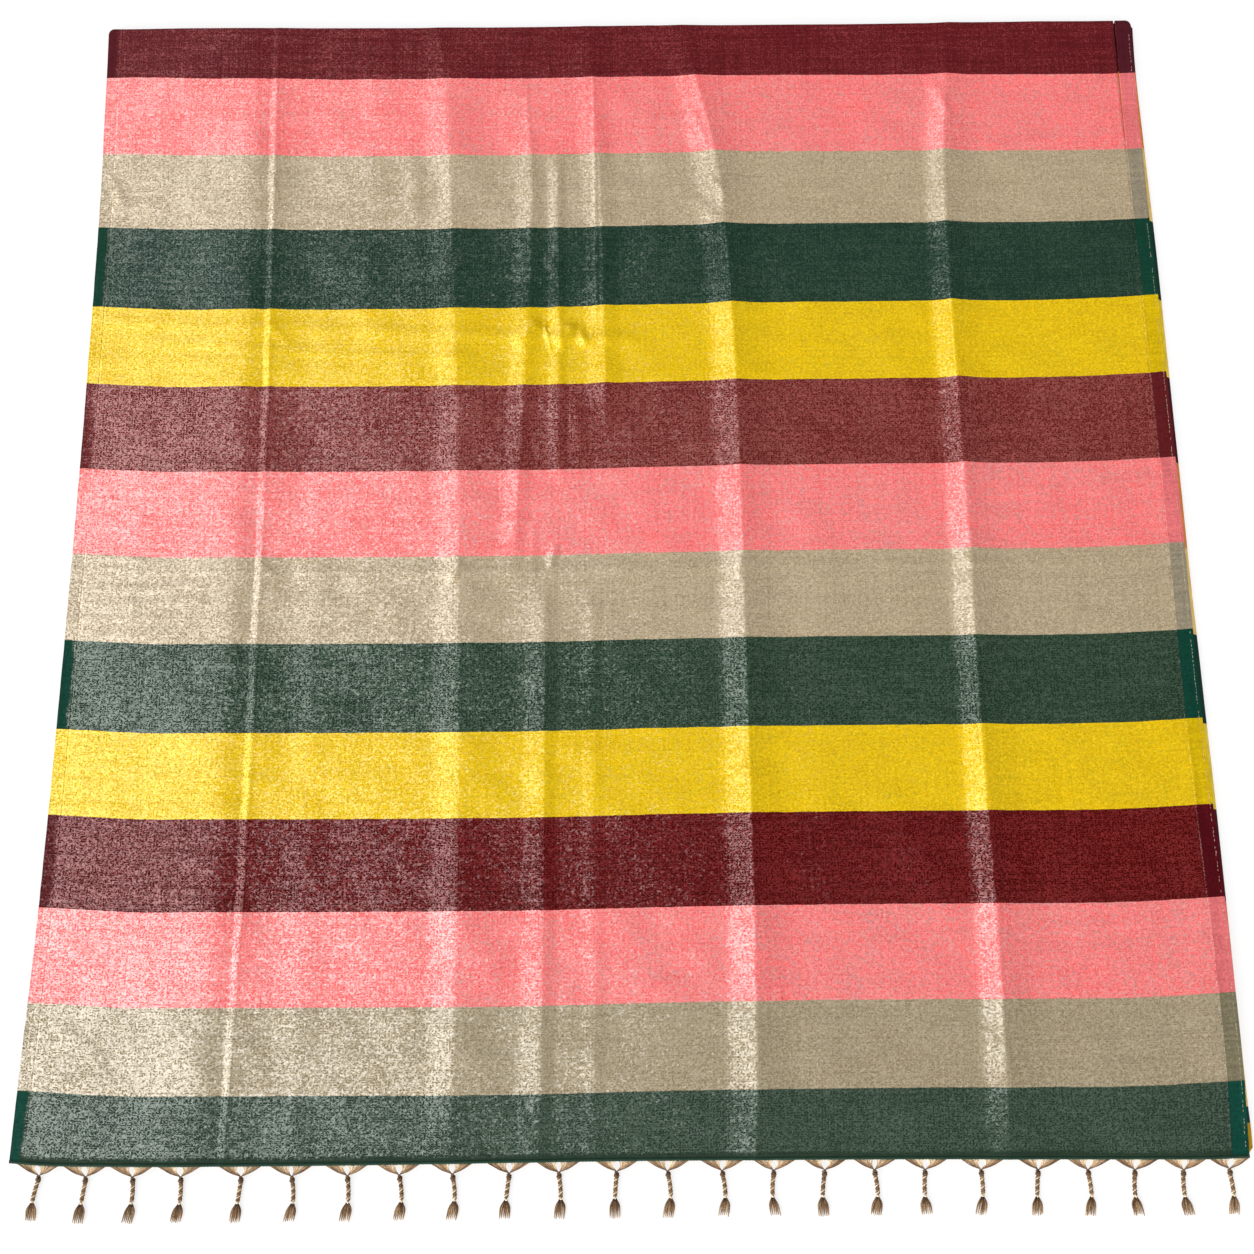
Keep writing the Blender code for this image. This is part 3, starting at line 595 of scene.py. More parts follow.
def relief(across, down):
    """Height of the panel's folds, wrinkles and puckers above the flat cloth, in metres."""
    wander = CREASE_WANDER * waves(across * 0, down, *WANDER_WAVES)
    height = 0.0
    for crease in CREASES:
        height = height + ridge(crease, across, down, wander)
    for marks, soft_end in ((LONG_MARKS, LONG_SOFT_END), (SHORT_MARKS, SHORT_SOFT_END)):
        for mark in marks:
            height = height + mark_height(mark, across, down, soft_end)
    for swell in SWELLS:
        height = height + swell.height * MM * waves(across, down, *swell[1:])
    side = np.minimum(across, 1 - across) * CLOTH_WIDTH
    pucker = waves(across * 0.2, down, *PUCKER_WAVES)
    return height + PUCKER_HEIGHT * pucker * np.exp(-side / PUCKER_REACH) + PANEL_LIFT


def ease_along(down):
    """The folds flatten towards the top fold and the hem."""
    near_fold = smooth(1 - down / EASE_FROM_FOLD)
    near_hem = smooth((down - 1 + EASE_TO_HEM) / EASE_TO_HEM)
    return 1.0 - (1 - EASE_AT_FOLD) * near_fold - (1 - EASE_AT_HEM) * near_hem


def bow(across, down):
    """Shift of the weft lines along the warp, in metres."""
    across, down = np.broadcast_arrays(np.asarray(across, dtype=float), np.asarray(down, dtype=float))
    shift = read(BOW, "across", BOW_STATIONS[0][0], across)
    for (low_name, low), (high_name, high) in zip(BOW_STATIONS, BOW_STATIONS[1:]):
        share = smooth((down - low) / (high - low))
        change = read(BOW, "across", high_name, across) - read(BOW, "across", low_name, across)
        shift = shift + share * change
    return shift * MM


def corner_pull(across):
    """How far the top fold draws back at its rounded ends."""
    side = np.clip(np.minimum(across, 1 - across) * CLOTH_WIDTH, 0, CORNER_RADIUS)
    return CORNER_RADIUS - np.sqrt(CORNER_RADIUS ** 2 - (CORNER_RADIUS - side) ** 2)


def panel_rows(count):
    """The cloth's path from the tucked return, round the fold, to the hem, as columns of
    y, z, outward y and z, share down the panel, carried relief, and corner draw-back."""
    rows = []
    return_z = PANEL_MID_Z - 2 * FOLD_RADIUS
    for share in np.linspace(1.0, 0.15, RETURN_ROWS):
        rows.append((FOLD_CENTRE_Y - RETURN_LENGTH * share, return_z, 0, -1, 0.0, 0.0, 1.0 - share))
    for angle in np.linspace(math.pi, 0, FOLD_ROWS):
        y = FOLD_CENTRE_Y + FOLD_RADIUS * math.sin(angle)
        z = PANEL_MID_Z - FOLD_RADIUS * (1 - math.cos(angle))
        lift = EASE_AT_FOLD * (1 - angle / math.pi)
        rows.append((y, z, math.sin(angle), math.cos(angle), 0.0, lift, 1.0))
    far = FOLD_CENTRE_Y
    near = HEM_Y + HEM_DEPTH * HEM_COVER
    for share in np.linspace(0, 1, count - len(rows) + 1)[1:]:
        y = far + (near - far) * share
        down = (far - y) / (far - HEM_Y)
        corner = float(np.exp(-share * CORNER_FADE))
        rows.append((y, PANEL_MID_Z, 0, 1, down, float(ease_along(down)), corner))
    return np.array(rows)


def spread_columns(low, high, count):
    """Places across the cloth at mid height, closer together on the folds."""
    fine = np.linspace(low, high, 4000)
    density = np.ones_like(fine)
    crowded = [(crease.middle,) + FOLD_CROWDING for crease in CREASES]
    for place, closer, reach in crowded + list(OTHER_CROWDING):
        density += closer * np.exp(-((fine - place) / reach) ** 2)
    total = np.concatenate(([0.0], np.cumsum((density[1:] + density[:-1]) / 2)))
    return np.interp(np.linspace(0, total[-1], count), total, fine)


def follow_creases(columns, downs):
    """Grid of places across, each column keeping its place between the moving creases."""
    grid = np.empty((len(downs), len(columns)))
    middles = [0.0] + [crease.middle for crease in CREASES] + [1.0]
    for row, down in enumerate(downs):
        places = [0.0] + [float(crease_line(crease, down)) for crease in CREASES] + [1.0]
        grid[row] = np.interp(columns, middles, places)
    return grid


def cloth_points(across, rows, outward):
    """Grid of points of the cloth, moved out from its middle by the given distance."""
    y, z, out_y, out_z, down, lift, corner = (rows[:, index][:, None] for index in range(7))
    x = x_at(across, down)
    shift = bow(across, down) - corner * corner_pull(across)
    height = relief(across, down) * lift
    return np.stack([x, y + shift + out_y * outward, z + height + out_z * outward], axis=-1)


# Meshes


def grid_faces(index):
    return np.stack([index[:-1, :-1], index[1:, :-1], index[1:, 1:], index[:-1, 1:]], -1).reshape(-1, 4)


def ring_faces(index):
    """Faces of a closed tube whose rings have these point numbers, with both ends."""
    wrapped = np.concatenate([index, index[:, :1]], axis=1)
    return grid_faces(wrapped).tolist() + [index[0].tolist(), index[-1][::-1].tolist()]


def closed_mesh(name, points, faces):
    """A smooth mesh with its faces turned outwards."""
    mesh = bpy.data.meshes.new(name)
    mesh.from_pydata(points.tolist(), [], faces)
    bm = bmesh.new()
    bm.from_mesh(mesh)
    bmesh.ops.recalc_face_normals(bm, faces=bm.faces)
    bm.to_mesh(mesh)
    bm.free()
    mesh.shade_smooth()
    return mesh


def thin_shell(name, outer, inner, every=1):
    """A closed thin shell between two grids of points; the inner one keeps every so many
    of the outer one's rows and columns."""
    inner = inner[::every, ::every]
    points = np.concatenate([outer.reshape(-1, 3), inner.reshape(-1, 3)])
    top = np.arange(outer[..., 0].size).reshape(outer.shape[:2])
    low = np.arange(inner[..., 0].size).reshape(inner.shape[:2]) + top.size
    faces = grid_faces(top).tolist() + grid_faces(low)[:, ::-1].tolist()
    for a, b in ((top[0][::-1], low[0][::-1]), (top[-1], low[-1]), (top[:, 0], low[:, 0]),
                 (top[:, -1][::-1], low[:, -1][::-1])):
        for step in range(len(b) - 1):
            run = a[step * every:(step + 1) * every + 1].tolist()
            faces.append(run[::-1] + [int(b[step]), int(b[step + 1])])
    return closed_mesh(name, points, faces)


def weave_attribute(mesh, across, down):
    """Each point's place in the cloth before folding: across and down, in metres."""
    values = np.stack([across.ravel(), down.ravel(), np.zeros(across.size)], axis=-1)
    attribute = mesh.attributes.new("weave", "FLOAT_VECTOR", "POINT")
    attribute.data.foreach_set("vector", values.ravel().astype(np.float32))


def shell_weave(mesh, across, down, every=1):
    """The weave attribute of a thin shell, for its outer and then its inner grid."""
    both_across = np.concatenate([across.ravel(), across[::every, ::every].ravel()])
    both_down = np.concatenate([down.ravel(), down[::every, ::every].ravel()])
    weave_attribute(mesh, both_across, both_down)


def link_object(name, data):
    made = bpy.data.objects.new(name, data)
    bpy.context.scene.collection.objects.link(made)
    return made


def add_piece(name, mesh, finish, slot_name, *nodes):
    """Link a finished mesh as a piece that rides on the body and stands for these nodes."""
    mesh.materials.append(finish)
    piece = link_object(name, mesh)
    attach(piece, BODY)
    if nodes:
        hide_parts(*nodes)
    return piece


class Tubes:
    """Many tubes gathered into one mesh, each point with a tone from dark to light, which also
    holds the painted light and shade of the tassels and stitches.
    """

    def __init__(self):
        self.points = []
        self.tones = []
        self.faces = []
        self.count = 0

    def add(self, path, radii, sides, tone=0.5, flatten=1.0):
        """A tube along a path with a radius and a tone at each point."""
        path = np.asarray(path, dtype=float)
        radii = np.broadcast_to(np.asarray(radii, dtype=float), (len(path),))
        tones = np.broadcast_to(np.asarray(tone, dtype=float), (len(path),))
        along = np.gradient(path, axis=0)
        along /= np.linalg.norm(along, axis=1)[:, None] + 1e-12
        up = np.where(np.abs(along[:, 2:3]) > 0.9, (0.0, 1.0, 0.0), (0.0, 0.0, 1.0))
        side = np.cross(along, up)
        side /= np.linalg.norm(side, axis=1)[:, None] + 1e-12
        lift = np.cross(side, along)
        turn = np.arange(sides) * 2 * math.pi / sides
        ring = (np.cos(turn)[None, :, None] * side[:, None, :]
                + flatten * np.sin(turn)[None, :, None] * lift[:, None, :])
        points = path[:, None, :] + ring * radii[:, None, None]
        index = self.count + np.arange(len(path) * sides).reshape(len(path), sides)
        self.points.append(points.reshape(-1, 3))
        self.tones.append(np.repeat(tones, sides))
        self.count += index.size
        self.faces += ring_faces(index)

    def mesh(self, name):
        made = closed_mesh(name, np.concatenate(self.points), self.faces)
        attribute = made.attributes.new("tone", "FLOAT", "POINT")
        attribute.data.foreach_set("value", np.concatenate(self.tones).astype(np.float32))
        return made


# Material helpers


def nodes_of(name):
    finish = bpy.data.materials.new(name)
    finish.use_nodes = True
    tree = finish.node_tree
    return finish, tree, tree.nodes["Principled BSDF"]


def node(tree, kind, **settings):
    made = tree.nodes.new("ShaderNode" + kind)
    for key, value in settings.items():
        setattr(made, key, value)
    return made


def feed(tree, target, values):
    """Link a socket to, or set a number or colour on, a node's inputs by name or number."""
    for key, value in values.items():
        if isinstance(value, bpy.types.NodeSocket):
            tree.links.new(value, target.inputs[key])
        else:
            target.inputs[key].default_value = value


def math_node(tree, operation, *values):
    made = node(tree, "Math", operation=operation)
    feed(tree, made, dict(enumerate(values)))
    return made.outputs[0]


def add(tree, first, second):
    return math_node(tree, "ADD", first, second)


def times(tree, first, second):
    return math_node(tree, "MULTIPLY", first, second)


def vector_node(tree, operation, *values):
    made = node(tree, "VectorMath", operation=operation)
    feed(tree, made, dict(enumerate(values)))
    return made.outputs[0]


def scale(tree, vector, number):
    made = node(tree, "VectorMath", operation="SCALE")
    feed(tree, made, {0: vector, "Scale": number})
    return made.outputs[0]


def mix_colour(tree, share, low, high, blend="MIX"):
    made = node(tree, "Mix", data_type="RGBA", blend_type=blend)
    feed(tree, made, {"Factor": share, 6: low, 7: high})
    return made.outputs[2]


def span(tree, value, low, high, to_low=0.0, to_high=1.0, kind="LINEAR"):
    """Map one range of a number onto another, without running past its ends."""
    made = node(tree, "MapRange", interpolation_type=kind)
    feed(tree, made, {"Value": value, "From Min": low, "From Max": high,
                      "To Min": to_low, "To Max": to_high})
    return made.outputs["Result"]


def swing(tree, value, reach):
    """Map the whole range of a noise onto plus or minus a reach."""
    return span(tree, value, 0.0, 1.0, -reach, reach)


def noise(tree, vector, name):
    """The noise of this name at a place in metres."""
    pattern = NOISES[name]
    made = node(tree, "TexNoise")
    cells = vector_node(tree, "MULTIPLY", vector, (pattern.across, pattern.down, 1.0))
    feed(tree, made, {"Vector": cells, "Scale": 1.0, "Detail": pattern.detail})
    return made


def noise_value(tree, vector, name):
    return noise(tree, vector, name).outputs["Fac"]


def attribute_node(tree, name):
    return node(tree, "Attribute", attribute_type="GEOMETRY", attribute_name=name)


def split(tree, vector):
    made = node(tree, "SeparateXYZ")
    feed(tree, made, {0: vector})
    return made.outputs


def bump(tree, height, strength, distance, **others):
    made = node(tree, "Bump")
    feed(tree, made, {"Height": height, "Strength": strength, "Distance": distance, **others})
    return made.outputs["Normal"]


def colour_ramp(tree, share, colours, kind="LINEAR"):
    """Colours along a share; each has its place, its linear parts in thousandths and alpha."""
    ramp = node(tree, "ValToRGB")
    ramp.color_ramp.interpolation = kind
    stops = ramp.color_ramp.elements
    for index, (place, parts, alpha) in enumerate(colours):
        stop = stops[index] if index < 2 else stops.new(place)
        stop.position = place
        stop.color = [part / 1000 for part in parts] + [alpha]
    feed(tree, ramp, {"Fac": share})
    return ramp.outputs


def stripe_number(tree, position, stripes):
    """Number of the stripe at a distance in metres below the top fold."""
    number = 0.0
    passed = 0.0
    for row in stripes[:-1]:
        passed += row.length * MM
        number = add(tree, number, math_node(tree, "GREATER_THAN", position, passed))
    return number


def stripe_colour(tree, number, stripes, shade, extra):
    """Colour of the numbered stripe, with an extra value of its own as alpha."""
    middle = math_node(tree, "DIVIDE", add(tree, number, 0.5), len(stripes))
    colours = []
    for index, row in enumerate(stripes):
        dye = PALETTE[row.colour]
        value = row.flecks if extra == "flecks" else getattr(dye, extra)
        colours.append((index / len(stripes), getattr(dye, shade), value))
    return colour_ramp(tree, middle, colours, "CONSTANT")


def stripe_place(tree, place):
    """Distance below the top fold, with the stripes' edges a little uneven."""
    wobble = swing(tree, noise_value(tree, place, "wobble"), STRIPE_WOBBLE)
    ragged = swing(tree, noise_value(tree, place, "ragged"), STRIPE_RAGGED)
    return add(tree, split(tree, place)[1], add(tree, wobble, ragged))


# Materials


def selvedge_mask(tree, place, left_bare):
    """Where the weave is plain: at both sides, the left one's inner edge a little astray."""
    across = split(tree, place)[0]
    stray = swing(tree, noise_value(tree, place, "stray"), SELVEDGE_STRAY)
    left = span(tree, add(tree, across, stray), *LEFT_PLAIN, 1.0, 0.0)
    right = span(tree, across, *RIGHT_PLAIN)
    return math_node(tree, "MAXIMUM", times(tree, left, left_bare), right)


def fleck_mask(tree, fine, weave, cover, plain):
    """Where a curl of metallic weft shows: on a thin band round the middle of the fine noise,
    wider where the stripe has more flecks and narrower where the weave is plain."""
    curls = math_node(tree, "ABSOLUTE", math_node(tree, "SUBTRACT", fine, 0.5))
    width = span(tree, cover, 0.0, 1.0, 0.0, FLECK_WIDTH)
    for name, depth in FLECK_UNEVEN:
        width = add(tree, width, swing(tree, weave[name], depth / 2))
    width = math_node(tree, "SUBTRACT", width, times(tree, plain, PLAIN_LOSS))
    return span(tree, math_node(tree, "SUBTRACT", width, curls), -FLECK_BLUR, FLECK_BLUR)


def fleck_normal(tree, weave, parts):
    """The woven surface's normal, each fleck tilted its own way."""
    tilt = node(tree, "CombineXYZ")
    feed(tree, tilt, {0: swing(tree, parts[1], TILT_ACROSS), 1: swing(tree, parts[2], TILT_DOWN)})
    normal = node(tree, "NewGeometry").outputs["Normal"]
    tilted = vector_node(tree, "NORMALIZE", vector_node(tree, "ADD", normal, tilt.outputs[0]))
    height = add(tree, times(tree, weave["slubs"], 0.8), weave["picks"])
    return bump(tree, height, 0.25, 0.20 * MM, Normal=tilted)


def zari_cloth():
    """Tissue weave: coloured silk with sparkling flecks of metallic weft, plain at the edges."""
    finish, tree, shader = nodes_of("zari_cloth")
    place = attribute_node(tree, "weave").outputs["Vector"]
    number = stripe_number(tree, stripe_place(tree, place), STRIPES)
    ground = stripe_colour(tree, number, STRIPES, "ground", "flecks")
    metal = stripe_colour(tree, number, STRIPES, "zari", "shine")
    plain = stripe_colour(tree, number, STRIPES, "plain", "bare")
    fine = noise(tree, place, "fine").outputs
    parts = split(tree, fine["Color"])
    weave = {name: noise_value(tree, place, name) for name, depth in FLECK_UNEVEN}

    selvedge = selvedge_mask(tree, place, plain["Alpha"])
    edges = math_node(tree, "MAXIMUM", selvedge, span(tree, split(tree, place)[1], *HEM_PLAIN))
    flecks = fleck_mask(tree, fine["Fac"], weave, ground["Alpha"], edges)
    light = add(tree, span(tree, weave["ends"], 0.2, 0.8, -THREAD_LIGHT, THREAD_LIGHT),
                span(tree, weave["picks"], 0.2, 0.8, 1 - THREAD_LIGHT, 1 + THREAD_LIGHT))
    silk = scale(tree, mix_colour(tree, selvedge, ground["Color"], plain["Color"]), light)
    glint = span(tree, parts[1], 0.30, 0.70, 1 - FLECK_LIGHT, 1 + FLECK_LIGHT)
    thread = scale(tree, metal["Color"], glint)
    woven = fleck_normal(tree, weave, parts)
    feed(tree, shader, {
        "Base Color": mix_colour(tree, flecks, silk, thread),
        "Metallic": times(tree, flecks, METAL),
        "Roughness": span(tree, flecks, 0.0, 1.0, 0.50, 0.28),
        "Specular IOR Level": 0.05,
        "Normal": woven,
        "Coat Weight": times(tree, flecks, metal["Alpha"]),
        "Coat Roughness": 0.20,
        "Coat IOR": 2.7,
        "Coat Normal": woven,
    })
    return finish


def plain_cloth(name, stripes, shade):
    """Dense silk weave without metallic thread, striped like the cloth beside it."""
    finish, tree, shader = nodes_of(name)
    place = attribute_node(tree, "weave").outputs["Vector"]
    number = stripe_number(tree, stripe_place(tree, place), stripes)
    ground = stripe_colour(tree, number, stripes, shade, "flecks")["Color"]
    slubs = noise_value(tree, place, "plain_slubs")
    blotch = noise_value(tree, place, "blotch")
    worn = span(tree, slubs, 0.35, 0.7, 0.0, 0.20)
    dark = span(tree, blotch, 0.35, 0.7, 0.25, 0.0)
    colour = mix_colour(tree, worn, ground, WORN_LIGHT, "SOFT_LIGHT")
    feed(tree, shader, {
        "Base Color": mix_colour(tree, dark, colour, BLOTCH_DARK, "MULTIPLY"),
        "Roughness": 0.7,
        "Specular IOR Level": 0.15,
        "Normal": bump(tree, slubs, 0.4, 0.3 * MM),
    })
    return finish


def silk_thread():
    """Golden brown silk, darker where the strands are gathered and light at the hem: painted shade
    and painted light, held in the threads' tone.
    """
    finish, tree, shader = nodes_of("tassel_thread")
    place = node(tree, "TexCoord").outputs["Object"]
    tone = attribute_node(tree, "tone").outputs["Fac"]
    strand = noise_value(tree, place, "strand")
    tone = add(tree, tone, span(tree, strand, 0.3, 0.7, -0.14, 0.14))
    feed(tree, shader, {
        "Base Color": colour_ramp(tree, tone, SILK_TONES)["Color"],
        "Roughness": 0.5,
        "Specular IOR Level": 0.2,
        "Normal": bump(tree, strand, 0.3, 0.3 * MM),
    })
    return finish


def stitch_shade_and_highlight_thread():
    """Thread of the small stitches along the selvedges, dark or pale: the dark ones are painted
    shade at the left selvedge's inner edge, the pale ones a painted highlight near the right edge.
    """
    finish, tree, shader = nodes_of("stitch_shade_and_highlight_thread")
    tone = attribute_node(tree, "tone").outputs["Fac"]
    colour = colour_ramp(tree, tone, STITCH_TONES)["Color"]
    feed(tree, shader, {"Base Color": colour, "Roughness": 0.5})
    return finish


def floor_paper():
    """White paper that glows a little, so shadows on it all but vanish."""
    finish, tree, shader = nodes_of("floor_paper")
    feed(tree, shader, {
        "Base Color": (0.25, 0.25, 0.25, 1.0),
        "Roughness": 0.9,
        "Emission Color": WHITE,
        "Emission Strength": 0.74,
    })
    return finish


# Pieces of cloth


def weave_down(rows, across):
    """Distance down the cloth in metres at each point, the return counted as at the fold."""
    return np.broadcast_to((rows[:, 4] * PANEL_LENGTH)[:, None], across.shape)


def cloth_piece(name, across, rows, raised, finish, slot_name, cad_node):
    """A thin shell of cloth at these places across and rows down, as a piece."""
    outer = cloth_points(across, rows, HALF_WALL + raised)
    inner = cloth_points(across, rows, 0.0)
    mesh = thin_shell(name, outer, inner, SHELL_EVERY)
    shell_weave(mesh, across * CLOTH_WIDTH, weave_down(rows, across), SHELL_EVERY)
    return add_piece(name, mesh, finish, slot_name, cad_node)


def build_panel(finish):
    low_share = (LEFT_SELVEDGE - PANEL_OVERLAP) / CLOTH_WIDTH
    high_share = 1 - (RIGHT_SELVEDGE - PANEL_OVERLAP) / CLOTH_WIDTH
    rows = panel_rows(PANEL_ROWS)
    across = follow_creases(spread_columns(low_share, high_share, PANEL_COLUMNS), rows[:, 4])
    return cloth_piece("pallu_cloth", across, rows, 0.0, finish, "striped_cloth", "pallu_panel")


def build_selvedge(side, finish):
    width = LEFT_SELVEDGE if side == "left" else RIGHT_SELVEDGE
    inside = np.linspace(SELVEDGE_BORDER, width - SELVEDGE_BORDER, SELVEDGE_COLUMNS)
    shares = np.concatenate(([0.0], inside, [width])) / CLOTH_WIDTH
    if side == "right":
        shares = shares + 1 - RIGHT_SELVEDGE / CLOTH_WIDTH
    rows = panel_rows(SELVEDGE_ROWS)
    across = np.broadcast_to(shares, (len(rows), len(shares)))
    return cloth_piece("selvedge_cloth_" + side, across, rows, SELVEDGE_RAISED, finish, "selvedge",
                       "selvedge_" + side)


def hem_line(across):
    """Points along the middle of the hem's outer face."""
    x = x_at(across, 1.0)
    y = HEM_Y + bow(across, 1.0)
    z = PANEL_MID_Z + relief(across, np.ones_like(across)) * EASE_AT_HEM + (HEM_HEIGHT - 2 * HALF_WALL) / 2
    return np.stack([x, y, z], axis=-1)


def build_hem(finish):
    """The rolled hem, its roll slightly ribbed by the overcast stitches that hold it."""
    across = np.linspace(0.0, 1.0, HEM_RINGS)
    line = hem_line(across)
    turn = (np.arange(HEM_SIDES) + 0.5) * 2 * math.pi / HEM_SIDES
    stitch = 2 * math.pi * across * CLOTH_WIDTH / HEM_STITCH
    swell = 1 + HEM_SWELL * np.sin(stitch[:, None] + turn[None, :])
    y = line[:, 1:2] + HEM_DEPTH / 2 * (1 - np.cos(turn)[None, :] * swell)
    z = line[:, 2:3] + HEM_HEIGHT / 2 * np.sin(turn)[None, :] * swell
    x = np.broadcast_to(line[:, 0:1], y.shape)
    index = np.arange(y.size).reshape(y.shape)
    mesh = closed_mesh("rolled_hem", np.stack([x, y, z], axis=-1).reshape(-1, 3), ring_faces(index))
    weave_across = np.repeat(across * CLOTH_WIDTH, HEM_SIDES)
    weave_attribute(mesh, weave_across, PANEL_LENGTH - HEM_DEPTH + np.tile(turn, HEM_RINGS) * 0.5 * MM)
    return add_piece("rolled_hem", mesh, finish, "hem", "hem_roll")


def hidden_path():
    """The hidden layers' zigzag from below the panel down, as columns of y, z, outward y and
    z, layer, and how loose it lies."""
    near = [HEM_Y + LAYER_TURNS[0] * MM, HEM_Y + LAYER_TURNS[2] * MM]
    far = [FOLD_Y - LAYER_START * MM, FOLD_Y - LAYER_TURNS[1] * MM, FOLD_Y - LAYER_END * MM]
    heights = [row.z * MM for row in LAYERS]
    runs = ((far[0], near[0]), (near[0], far[1]), (far[1], near[1]), (near[1], far[2]))
    lowest = len(LAYERS) - 1
    rows = []
    for index, (start, end) in enumerate(runs):
        back = 1 if index % 2 else -1
        enter = 0.0 if index == 0 else (heights[index - 1] - heights[index]) / 2
        leave = 0.0 if index == lowest else (heights[index] - heights[index + 1]) / 2
        first = start + back * enter
        last = end - back * leave
        for share in np.linspace(0, 1, LAYER_ROWS):
            rows.append((first + (last - first) * share, heights[index], 0, -back, index, 1.0))
        if index == lowest:
            continue
        for angle in np.linspace(0, math.pi, TURN_ROWS)[1:-1]:
            y = last + back * leave * math.sin(angle)
            z = heights[index] - leave * (1 - math.cos(angle))
            out_z = -back * math.cos(angle)
            rows.append((y, z, -math.sin(angle), out_z, index + angle / math.pi, TURN_LOOSE))
    return np.array(rows, dtype=float)


def build_hidden_layers(finish):
    """One cloth folded back and forth below the panel, each layer's edge a little astray."""
    rows = hidden_path()
    sides = (np.linspace(0, 0.03, 7), np.linspace(0.03, 0.97, 40)[1:-1], np.linspace(0.97, 1, 9))
    across = np.concatenate(sides)[None, :]
    y, z, out_y, out_z, layer, loose = (rows[:, index][:, None] for index in range(6))
    down = (FOLD_Y - y) / PANEL_LENGTH
    numbers = np.arange(len(LAYERS))
    left = np.interp(layer, numbers, column(LAYERS, "left"))
    right = np.interp(layer, numbers, column(LAYERS, "right"))
    right = right * read(RIGHT_REACH_ALONG, "down", "share", down)
    right = right + LAYER_STRAY * waves(layer * 0.13, down, *RIGHT_WAVES)
    left = left - LAYER_STRAY * waves(layer * 0.13, down, *LEFT_WAVES)
    low_x = side_x("left", down) - left * MM
    high_x = side_x("right", down) + right * MM
    x = low_x + (high_x - low_x) * across
    lift = LAYER_LIFT * waves(across, down + layer * 0.37, *LIFT_WAVES) * loose
    lift = np.where(layer > len(LAYERS) - 1.5, 0.0, lift)
    pull = corner_pull(across) * np.exp(-((FOLD_Y - y) / LAYER_CORNER) ** 2)
    push = corner_pull(across) * np.exp(-((y - HEM_Y) / LAYER_CORNER) ** 2)
    ends = bow(across, 1.0) * smooth((down - 0.5) * 2) + bow(across, 0.0) * smooth((0.5 - down) * 2)
    place_y = y - pull + push + ends
    faces = [np.stack([x, place_y + out_y * side, z + lift + out_z * side], axis=-1)
             for side in (LAYER_HALF, -LAYER_HALF)]
    mesh = thin_shell("folded_layers", *faces)
    metres_across = np.broadcast_to(across * CLOTH_WIDTH, x.shape)
    shell_weave(mesh, metres_across, np.broadcast_to(down * PANEL_LENGTH, x.shape))
    return add_piece("folded_layers", mesh, finish, "folded_cloth", "hidden_layers")


def build_selvedge_stitches(finish):
    """Broken lines of small stitches along the selvedges: dark at the left one's inner edge,
    pale near the right one's outer edge. The dark line is painted shade along that edge and the
    pale one a painted highlight."""
    tubes = Tubes()
    draw = np.random.default_rng(31).uniform
    rows = panel_rows(STITCH_ROWS)[RETURN_ROWS + FOLD_ROWS:]
    for share, kept, tone in STITCH_LINES:
        across = np.full((len(rows), 1), share)
        line = cloth_points(across, rows, HALF_WALL + STITCH_RAISED)[:, 0, :]
        length = np.concatenate(([0.0], np.cumsum(np.linalg.norm(np.diff(line, axis=0), axis=1))))
        place = 10 * MM
        while place < length[-1] - 6 * MM:
            size = draw(1.4, 3.0) * MM
            if draw() < kept:
                stops = np.linspace(place, place + size, 4)
                path = np.stack([np.interp(stops, length, line[:, axis]) for axis in range(3)], axis=-1)
                path[:, 0] += draw(-0.25, 0.25) * MM
                path[:, 2] += np.array([-0.15, 0.12, 0.12, -0.15]) * MM
                tubes.add(path, STITCH_RADIUS, 5, tone + draw(-0.1, 0.25))
            place += size + draw(0.6, 2.2) * MM
    return add_piece("selvedge_shade_highlight_stitches", tubes.mesh("selvedge_shade_highlight_stitches"), finish, "selvedge")


# Tassels


def spline(points, count):
    """Points evenly spaced on a smooth line through a few points."""
    return curve_through(np.arange(len(points)), points, np.linspace(0, len(points) - 1, count))


def build_tassel(number, tassel, finish):
    """Swags of hem threads, knot, twisted cord, pale bead knot and ragged tuft."""
    draw = np.random.default_rng(100 + number).uniform
    tubes = Tubes()
    middle = hem_line(np.array([tassel.across]))[0]
    reach = TASSEL_REACH - draw(0.0, 1.5) * MM

    def centre(down, height):
        share = max(0.0, (down - TASSEL_START) / (reach - TASSEL_START))
        drift = tassel.lean * share + tassel.sway * math.sin(math.pi * share)
        return np.array([middle[0] + drift * MM, middle[1] - down, height])

    swags(tubes, draw, tassel.across, centre)
    wrap_knot(tubes, draw, centre, KNOTS["knot"])
    twisted_cord(tubes, draw, [centre(down, 2.2 * MM) for down in np.linspace(CORD_FROM, CORD_TO, 7)])
    wrap_knot(tubes, draw, centre, KNOTS["bead"])
    tuft(tubes, draw, centre, reach)
    name = "tassel_threads_{:02d}".format(number)
    return add_piece(name, tubes.mesh(name), finish, "tassel_thread", "tassel_{:02d}".format(number))


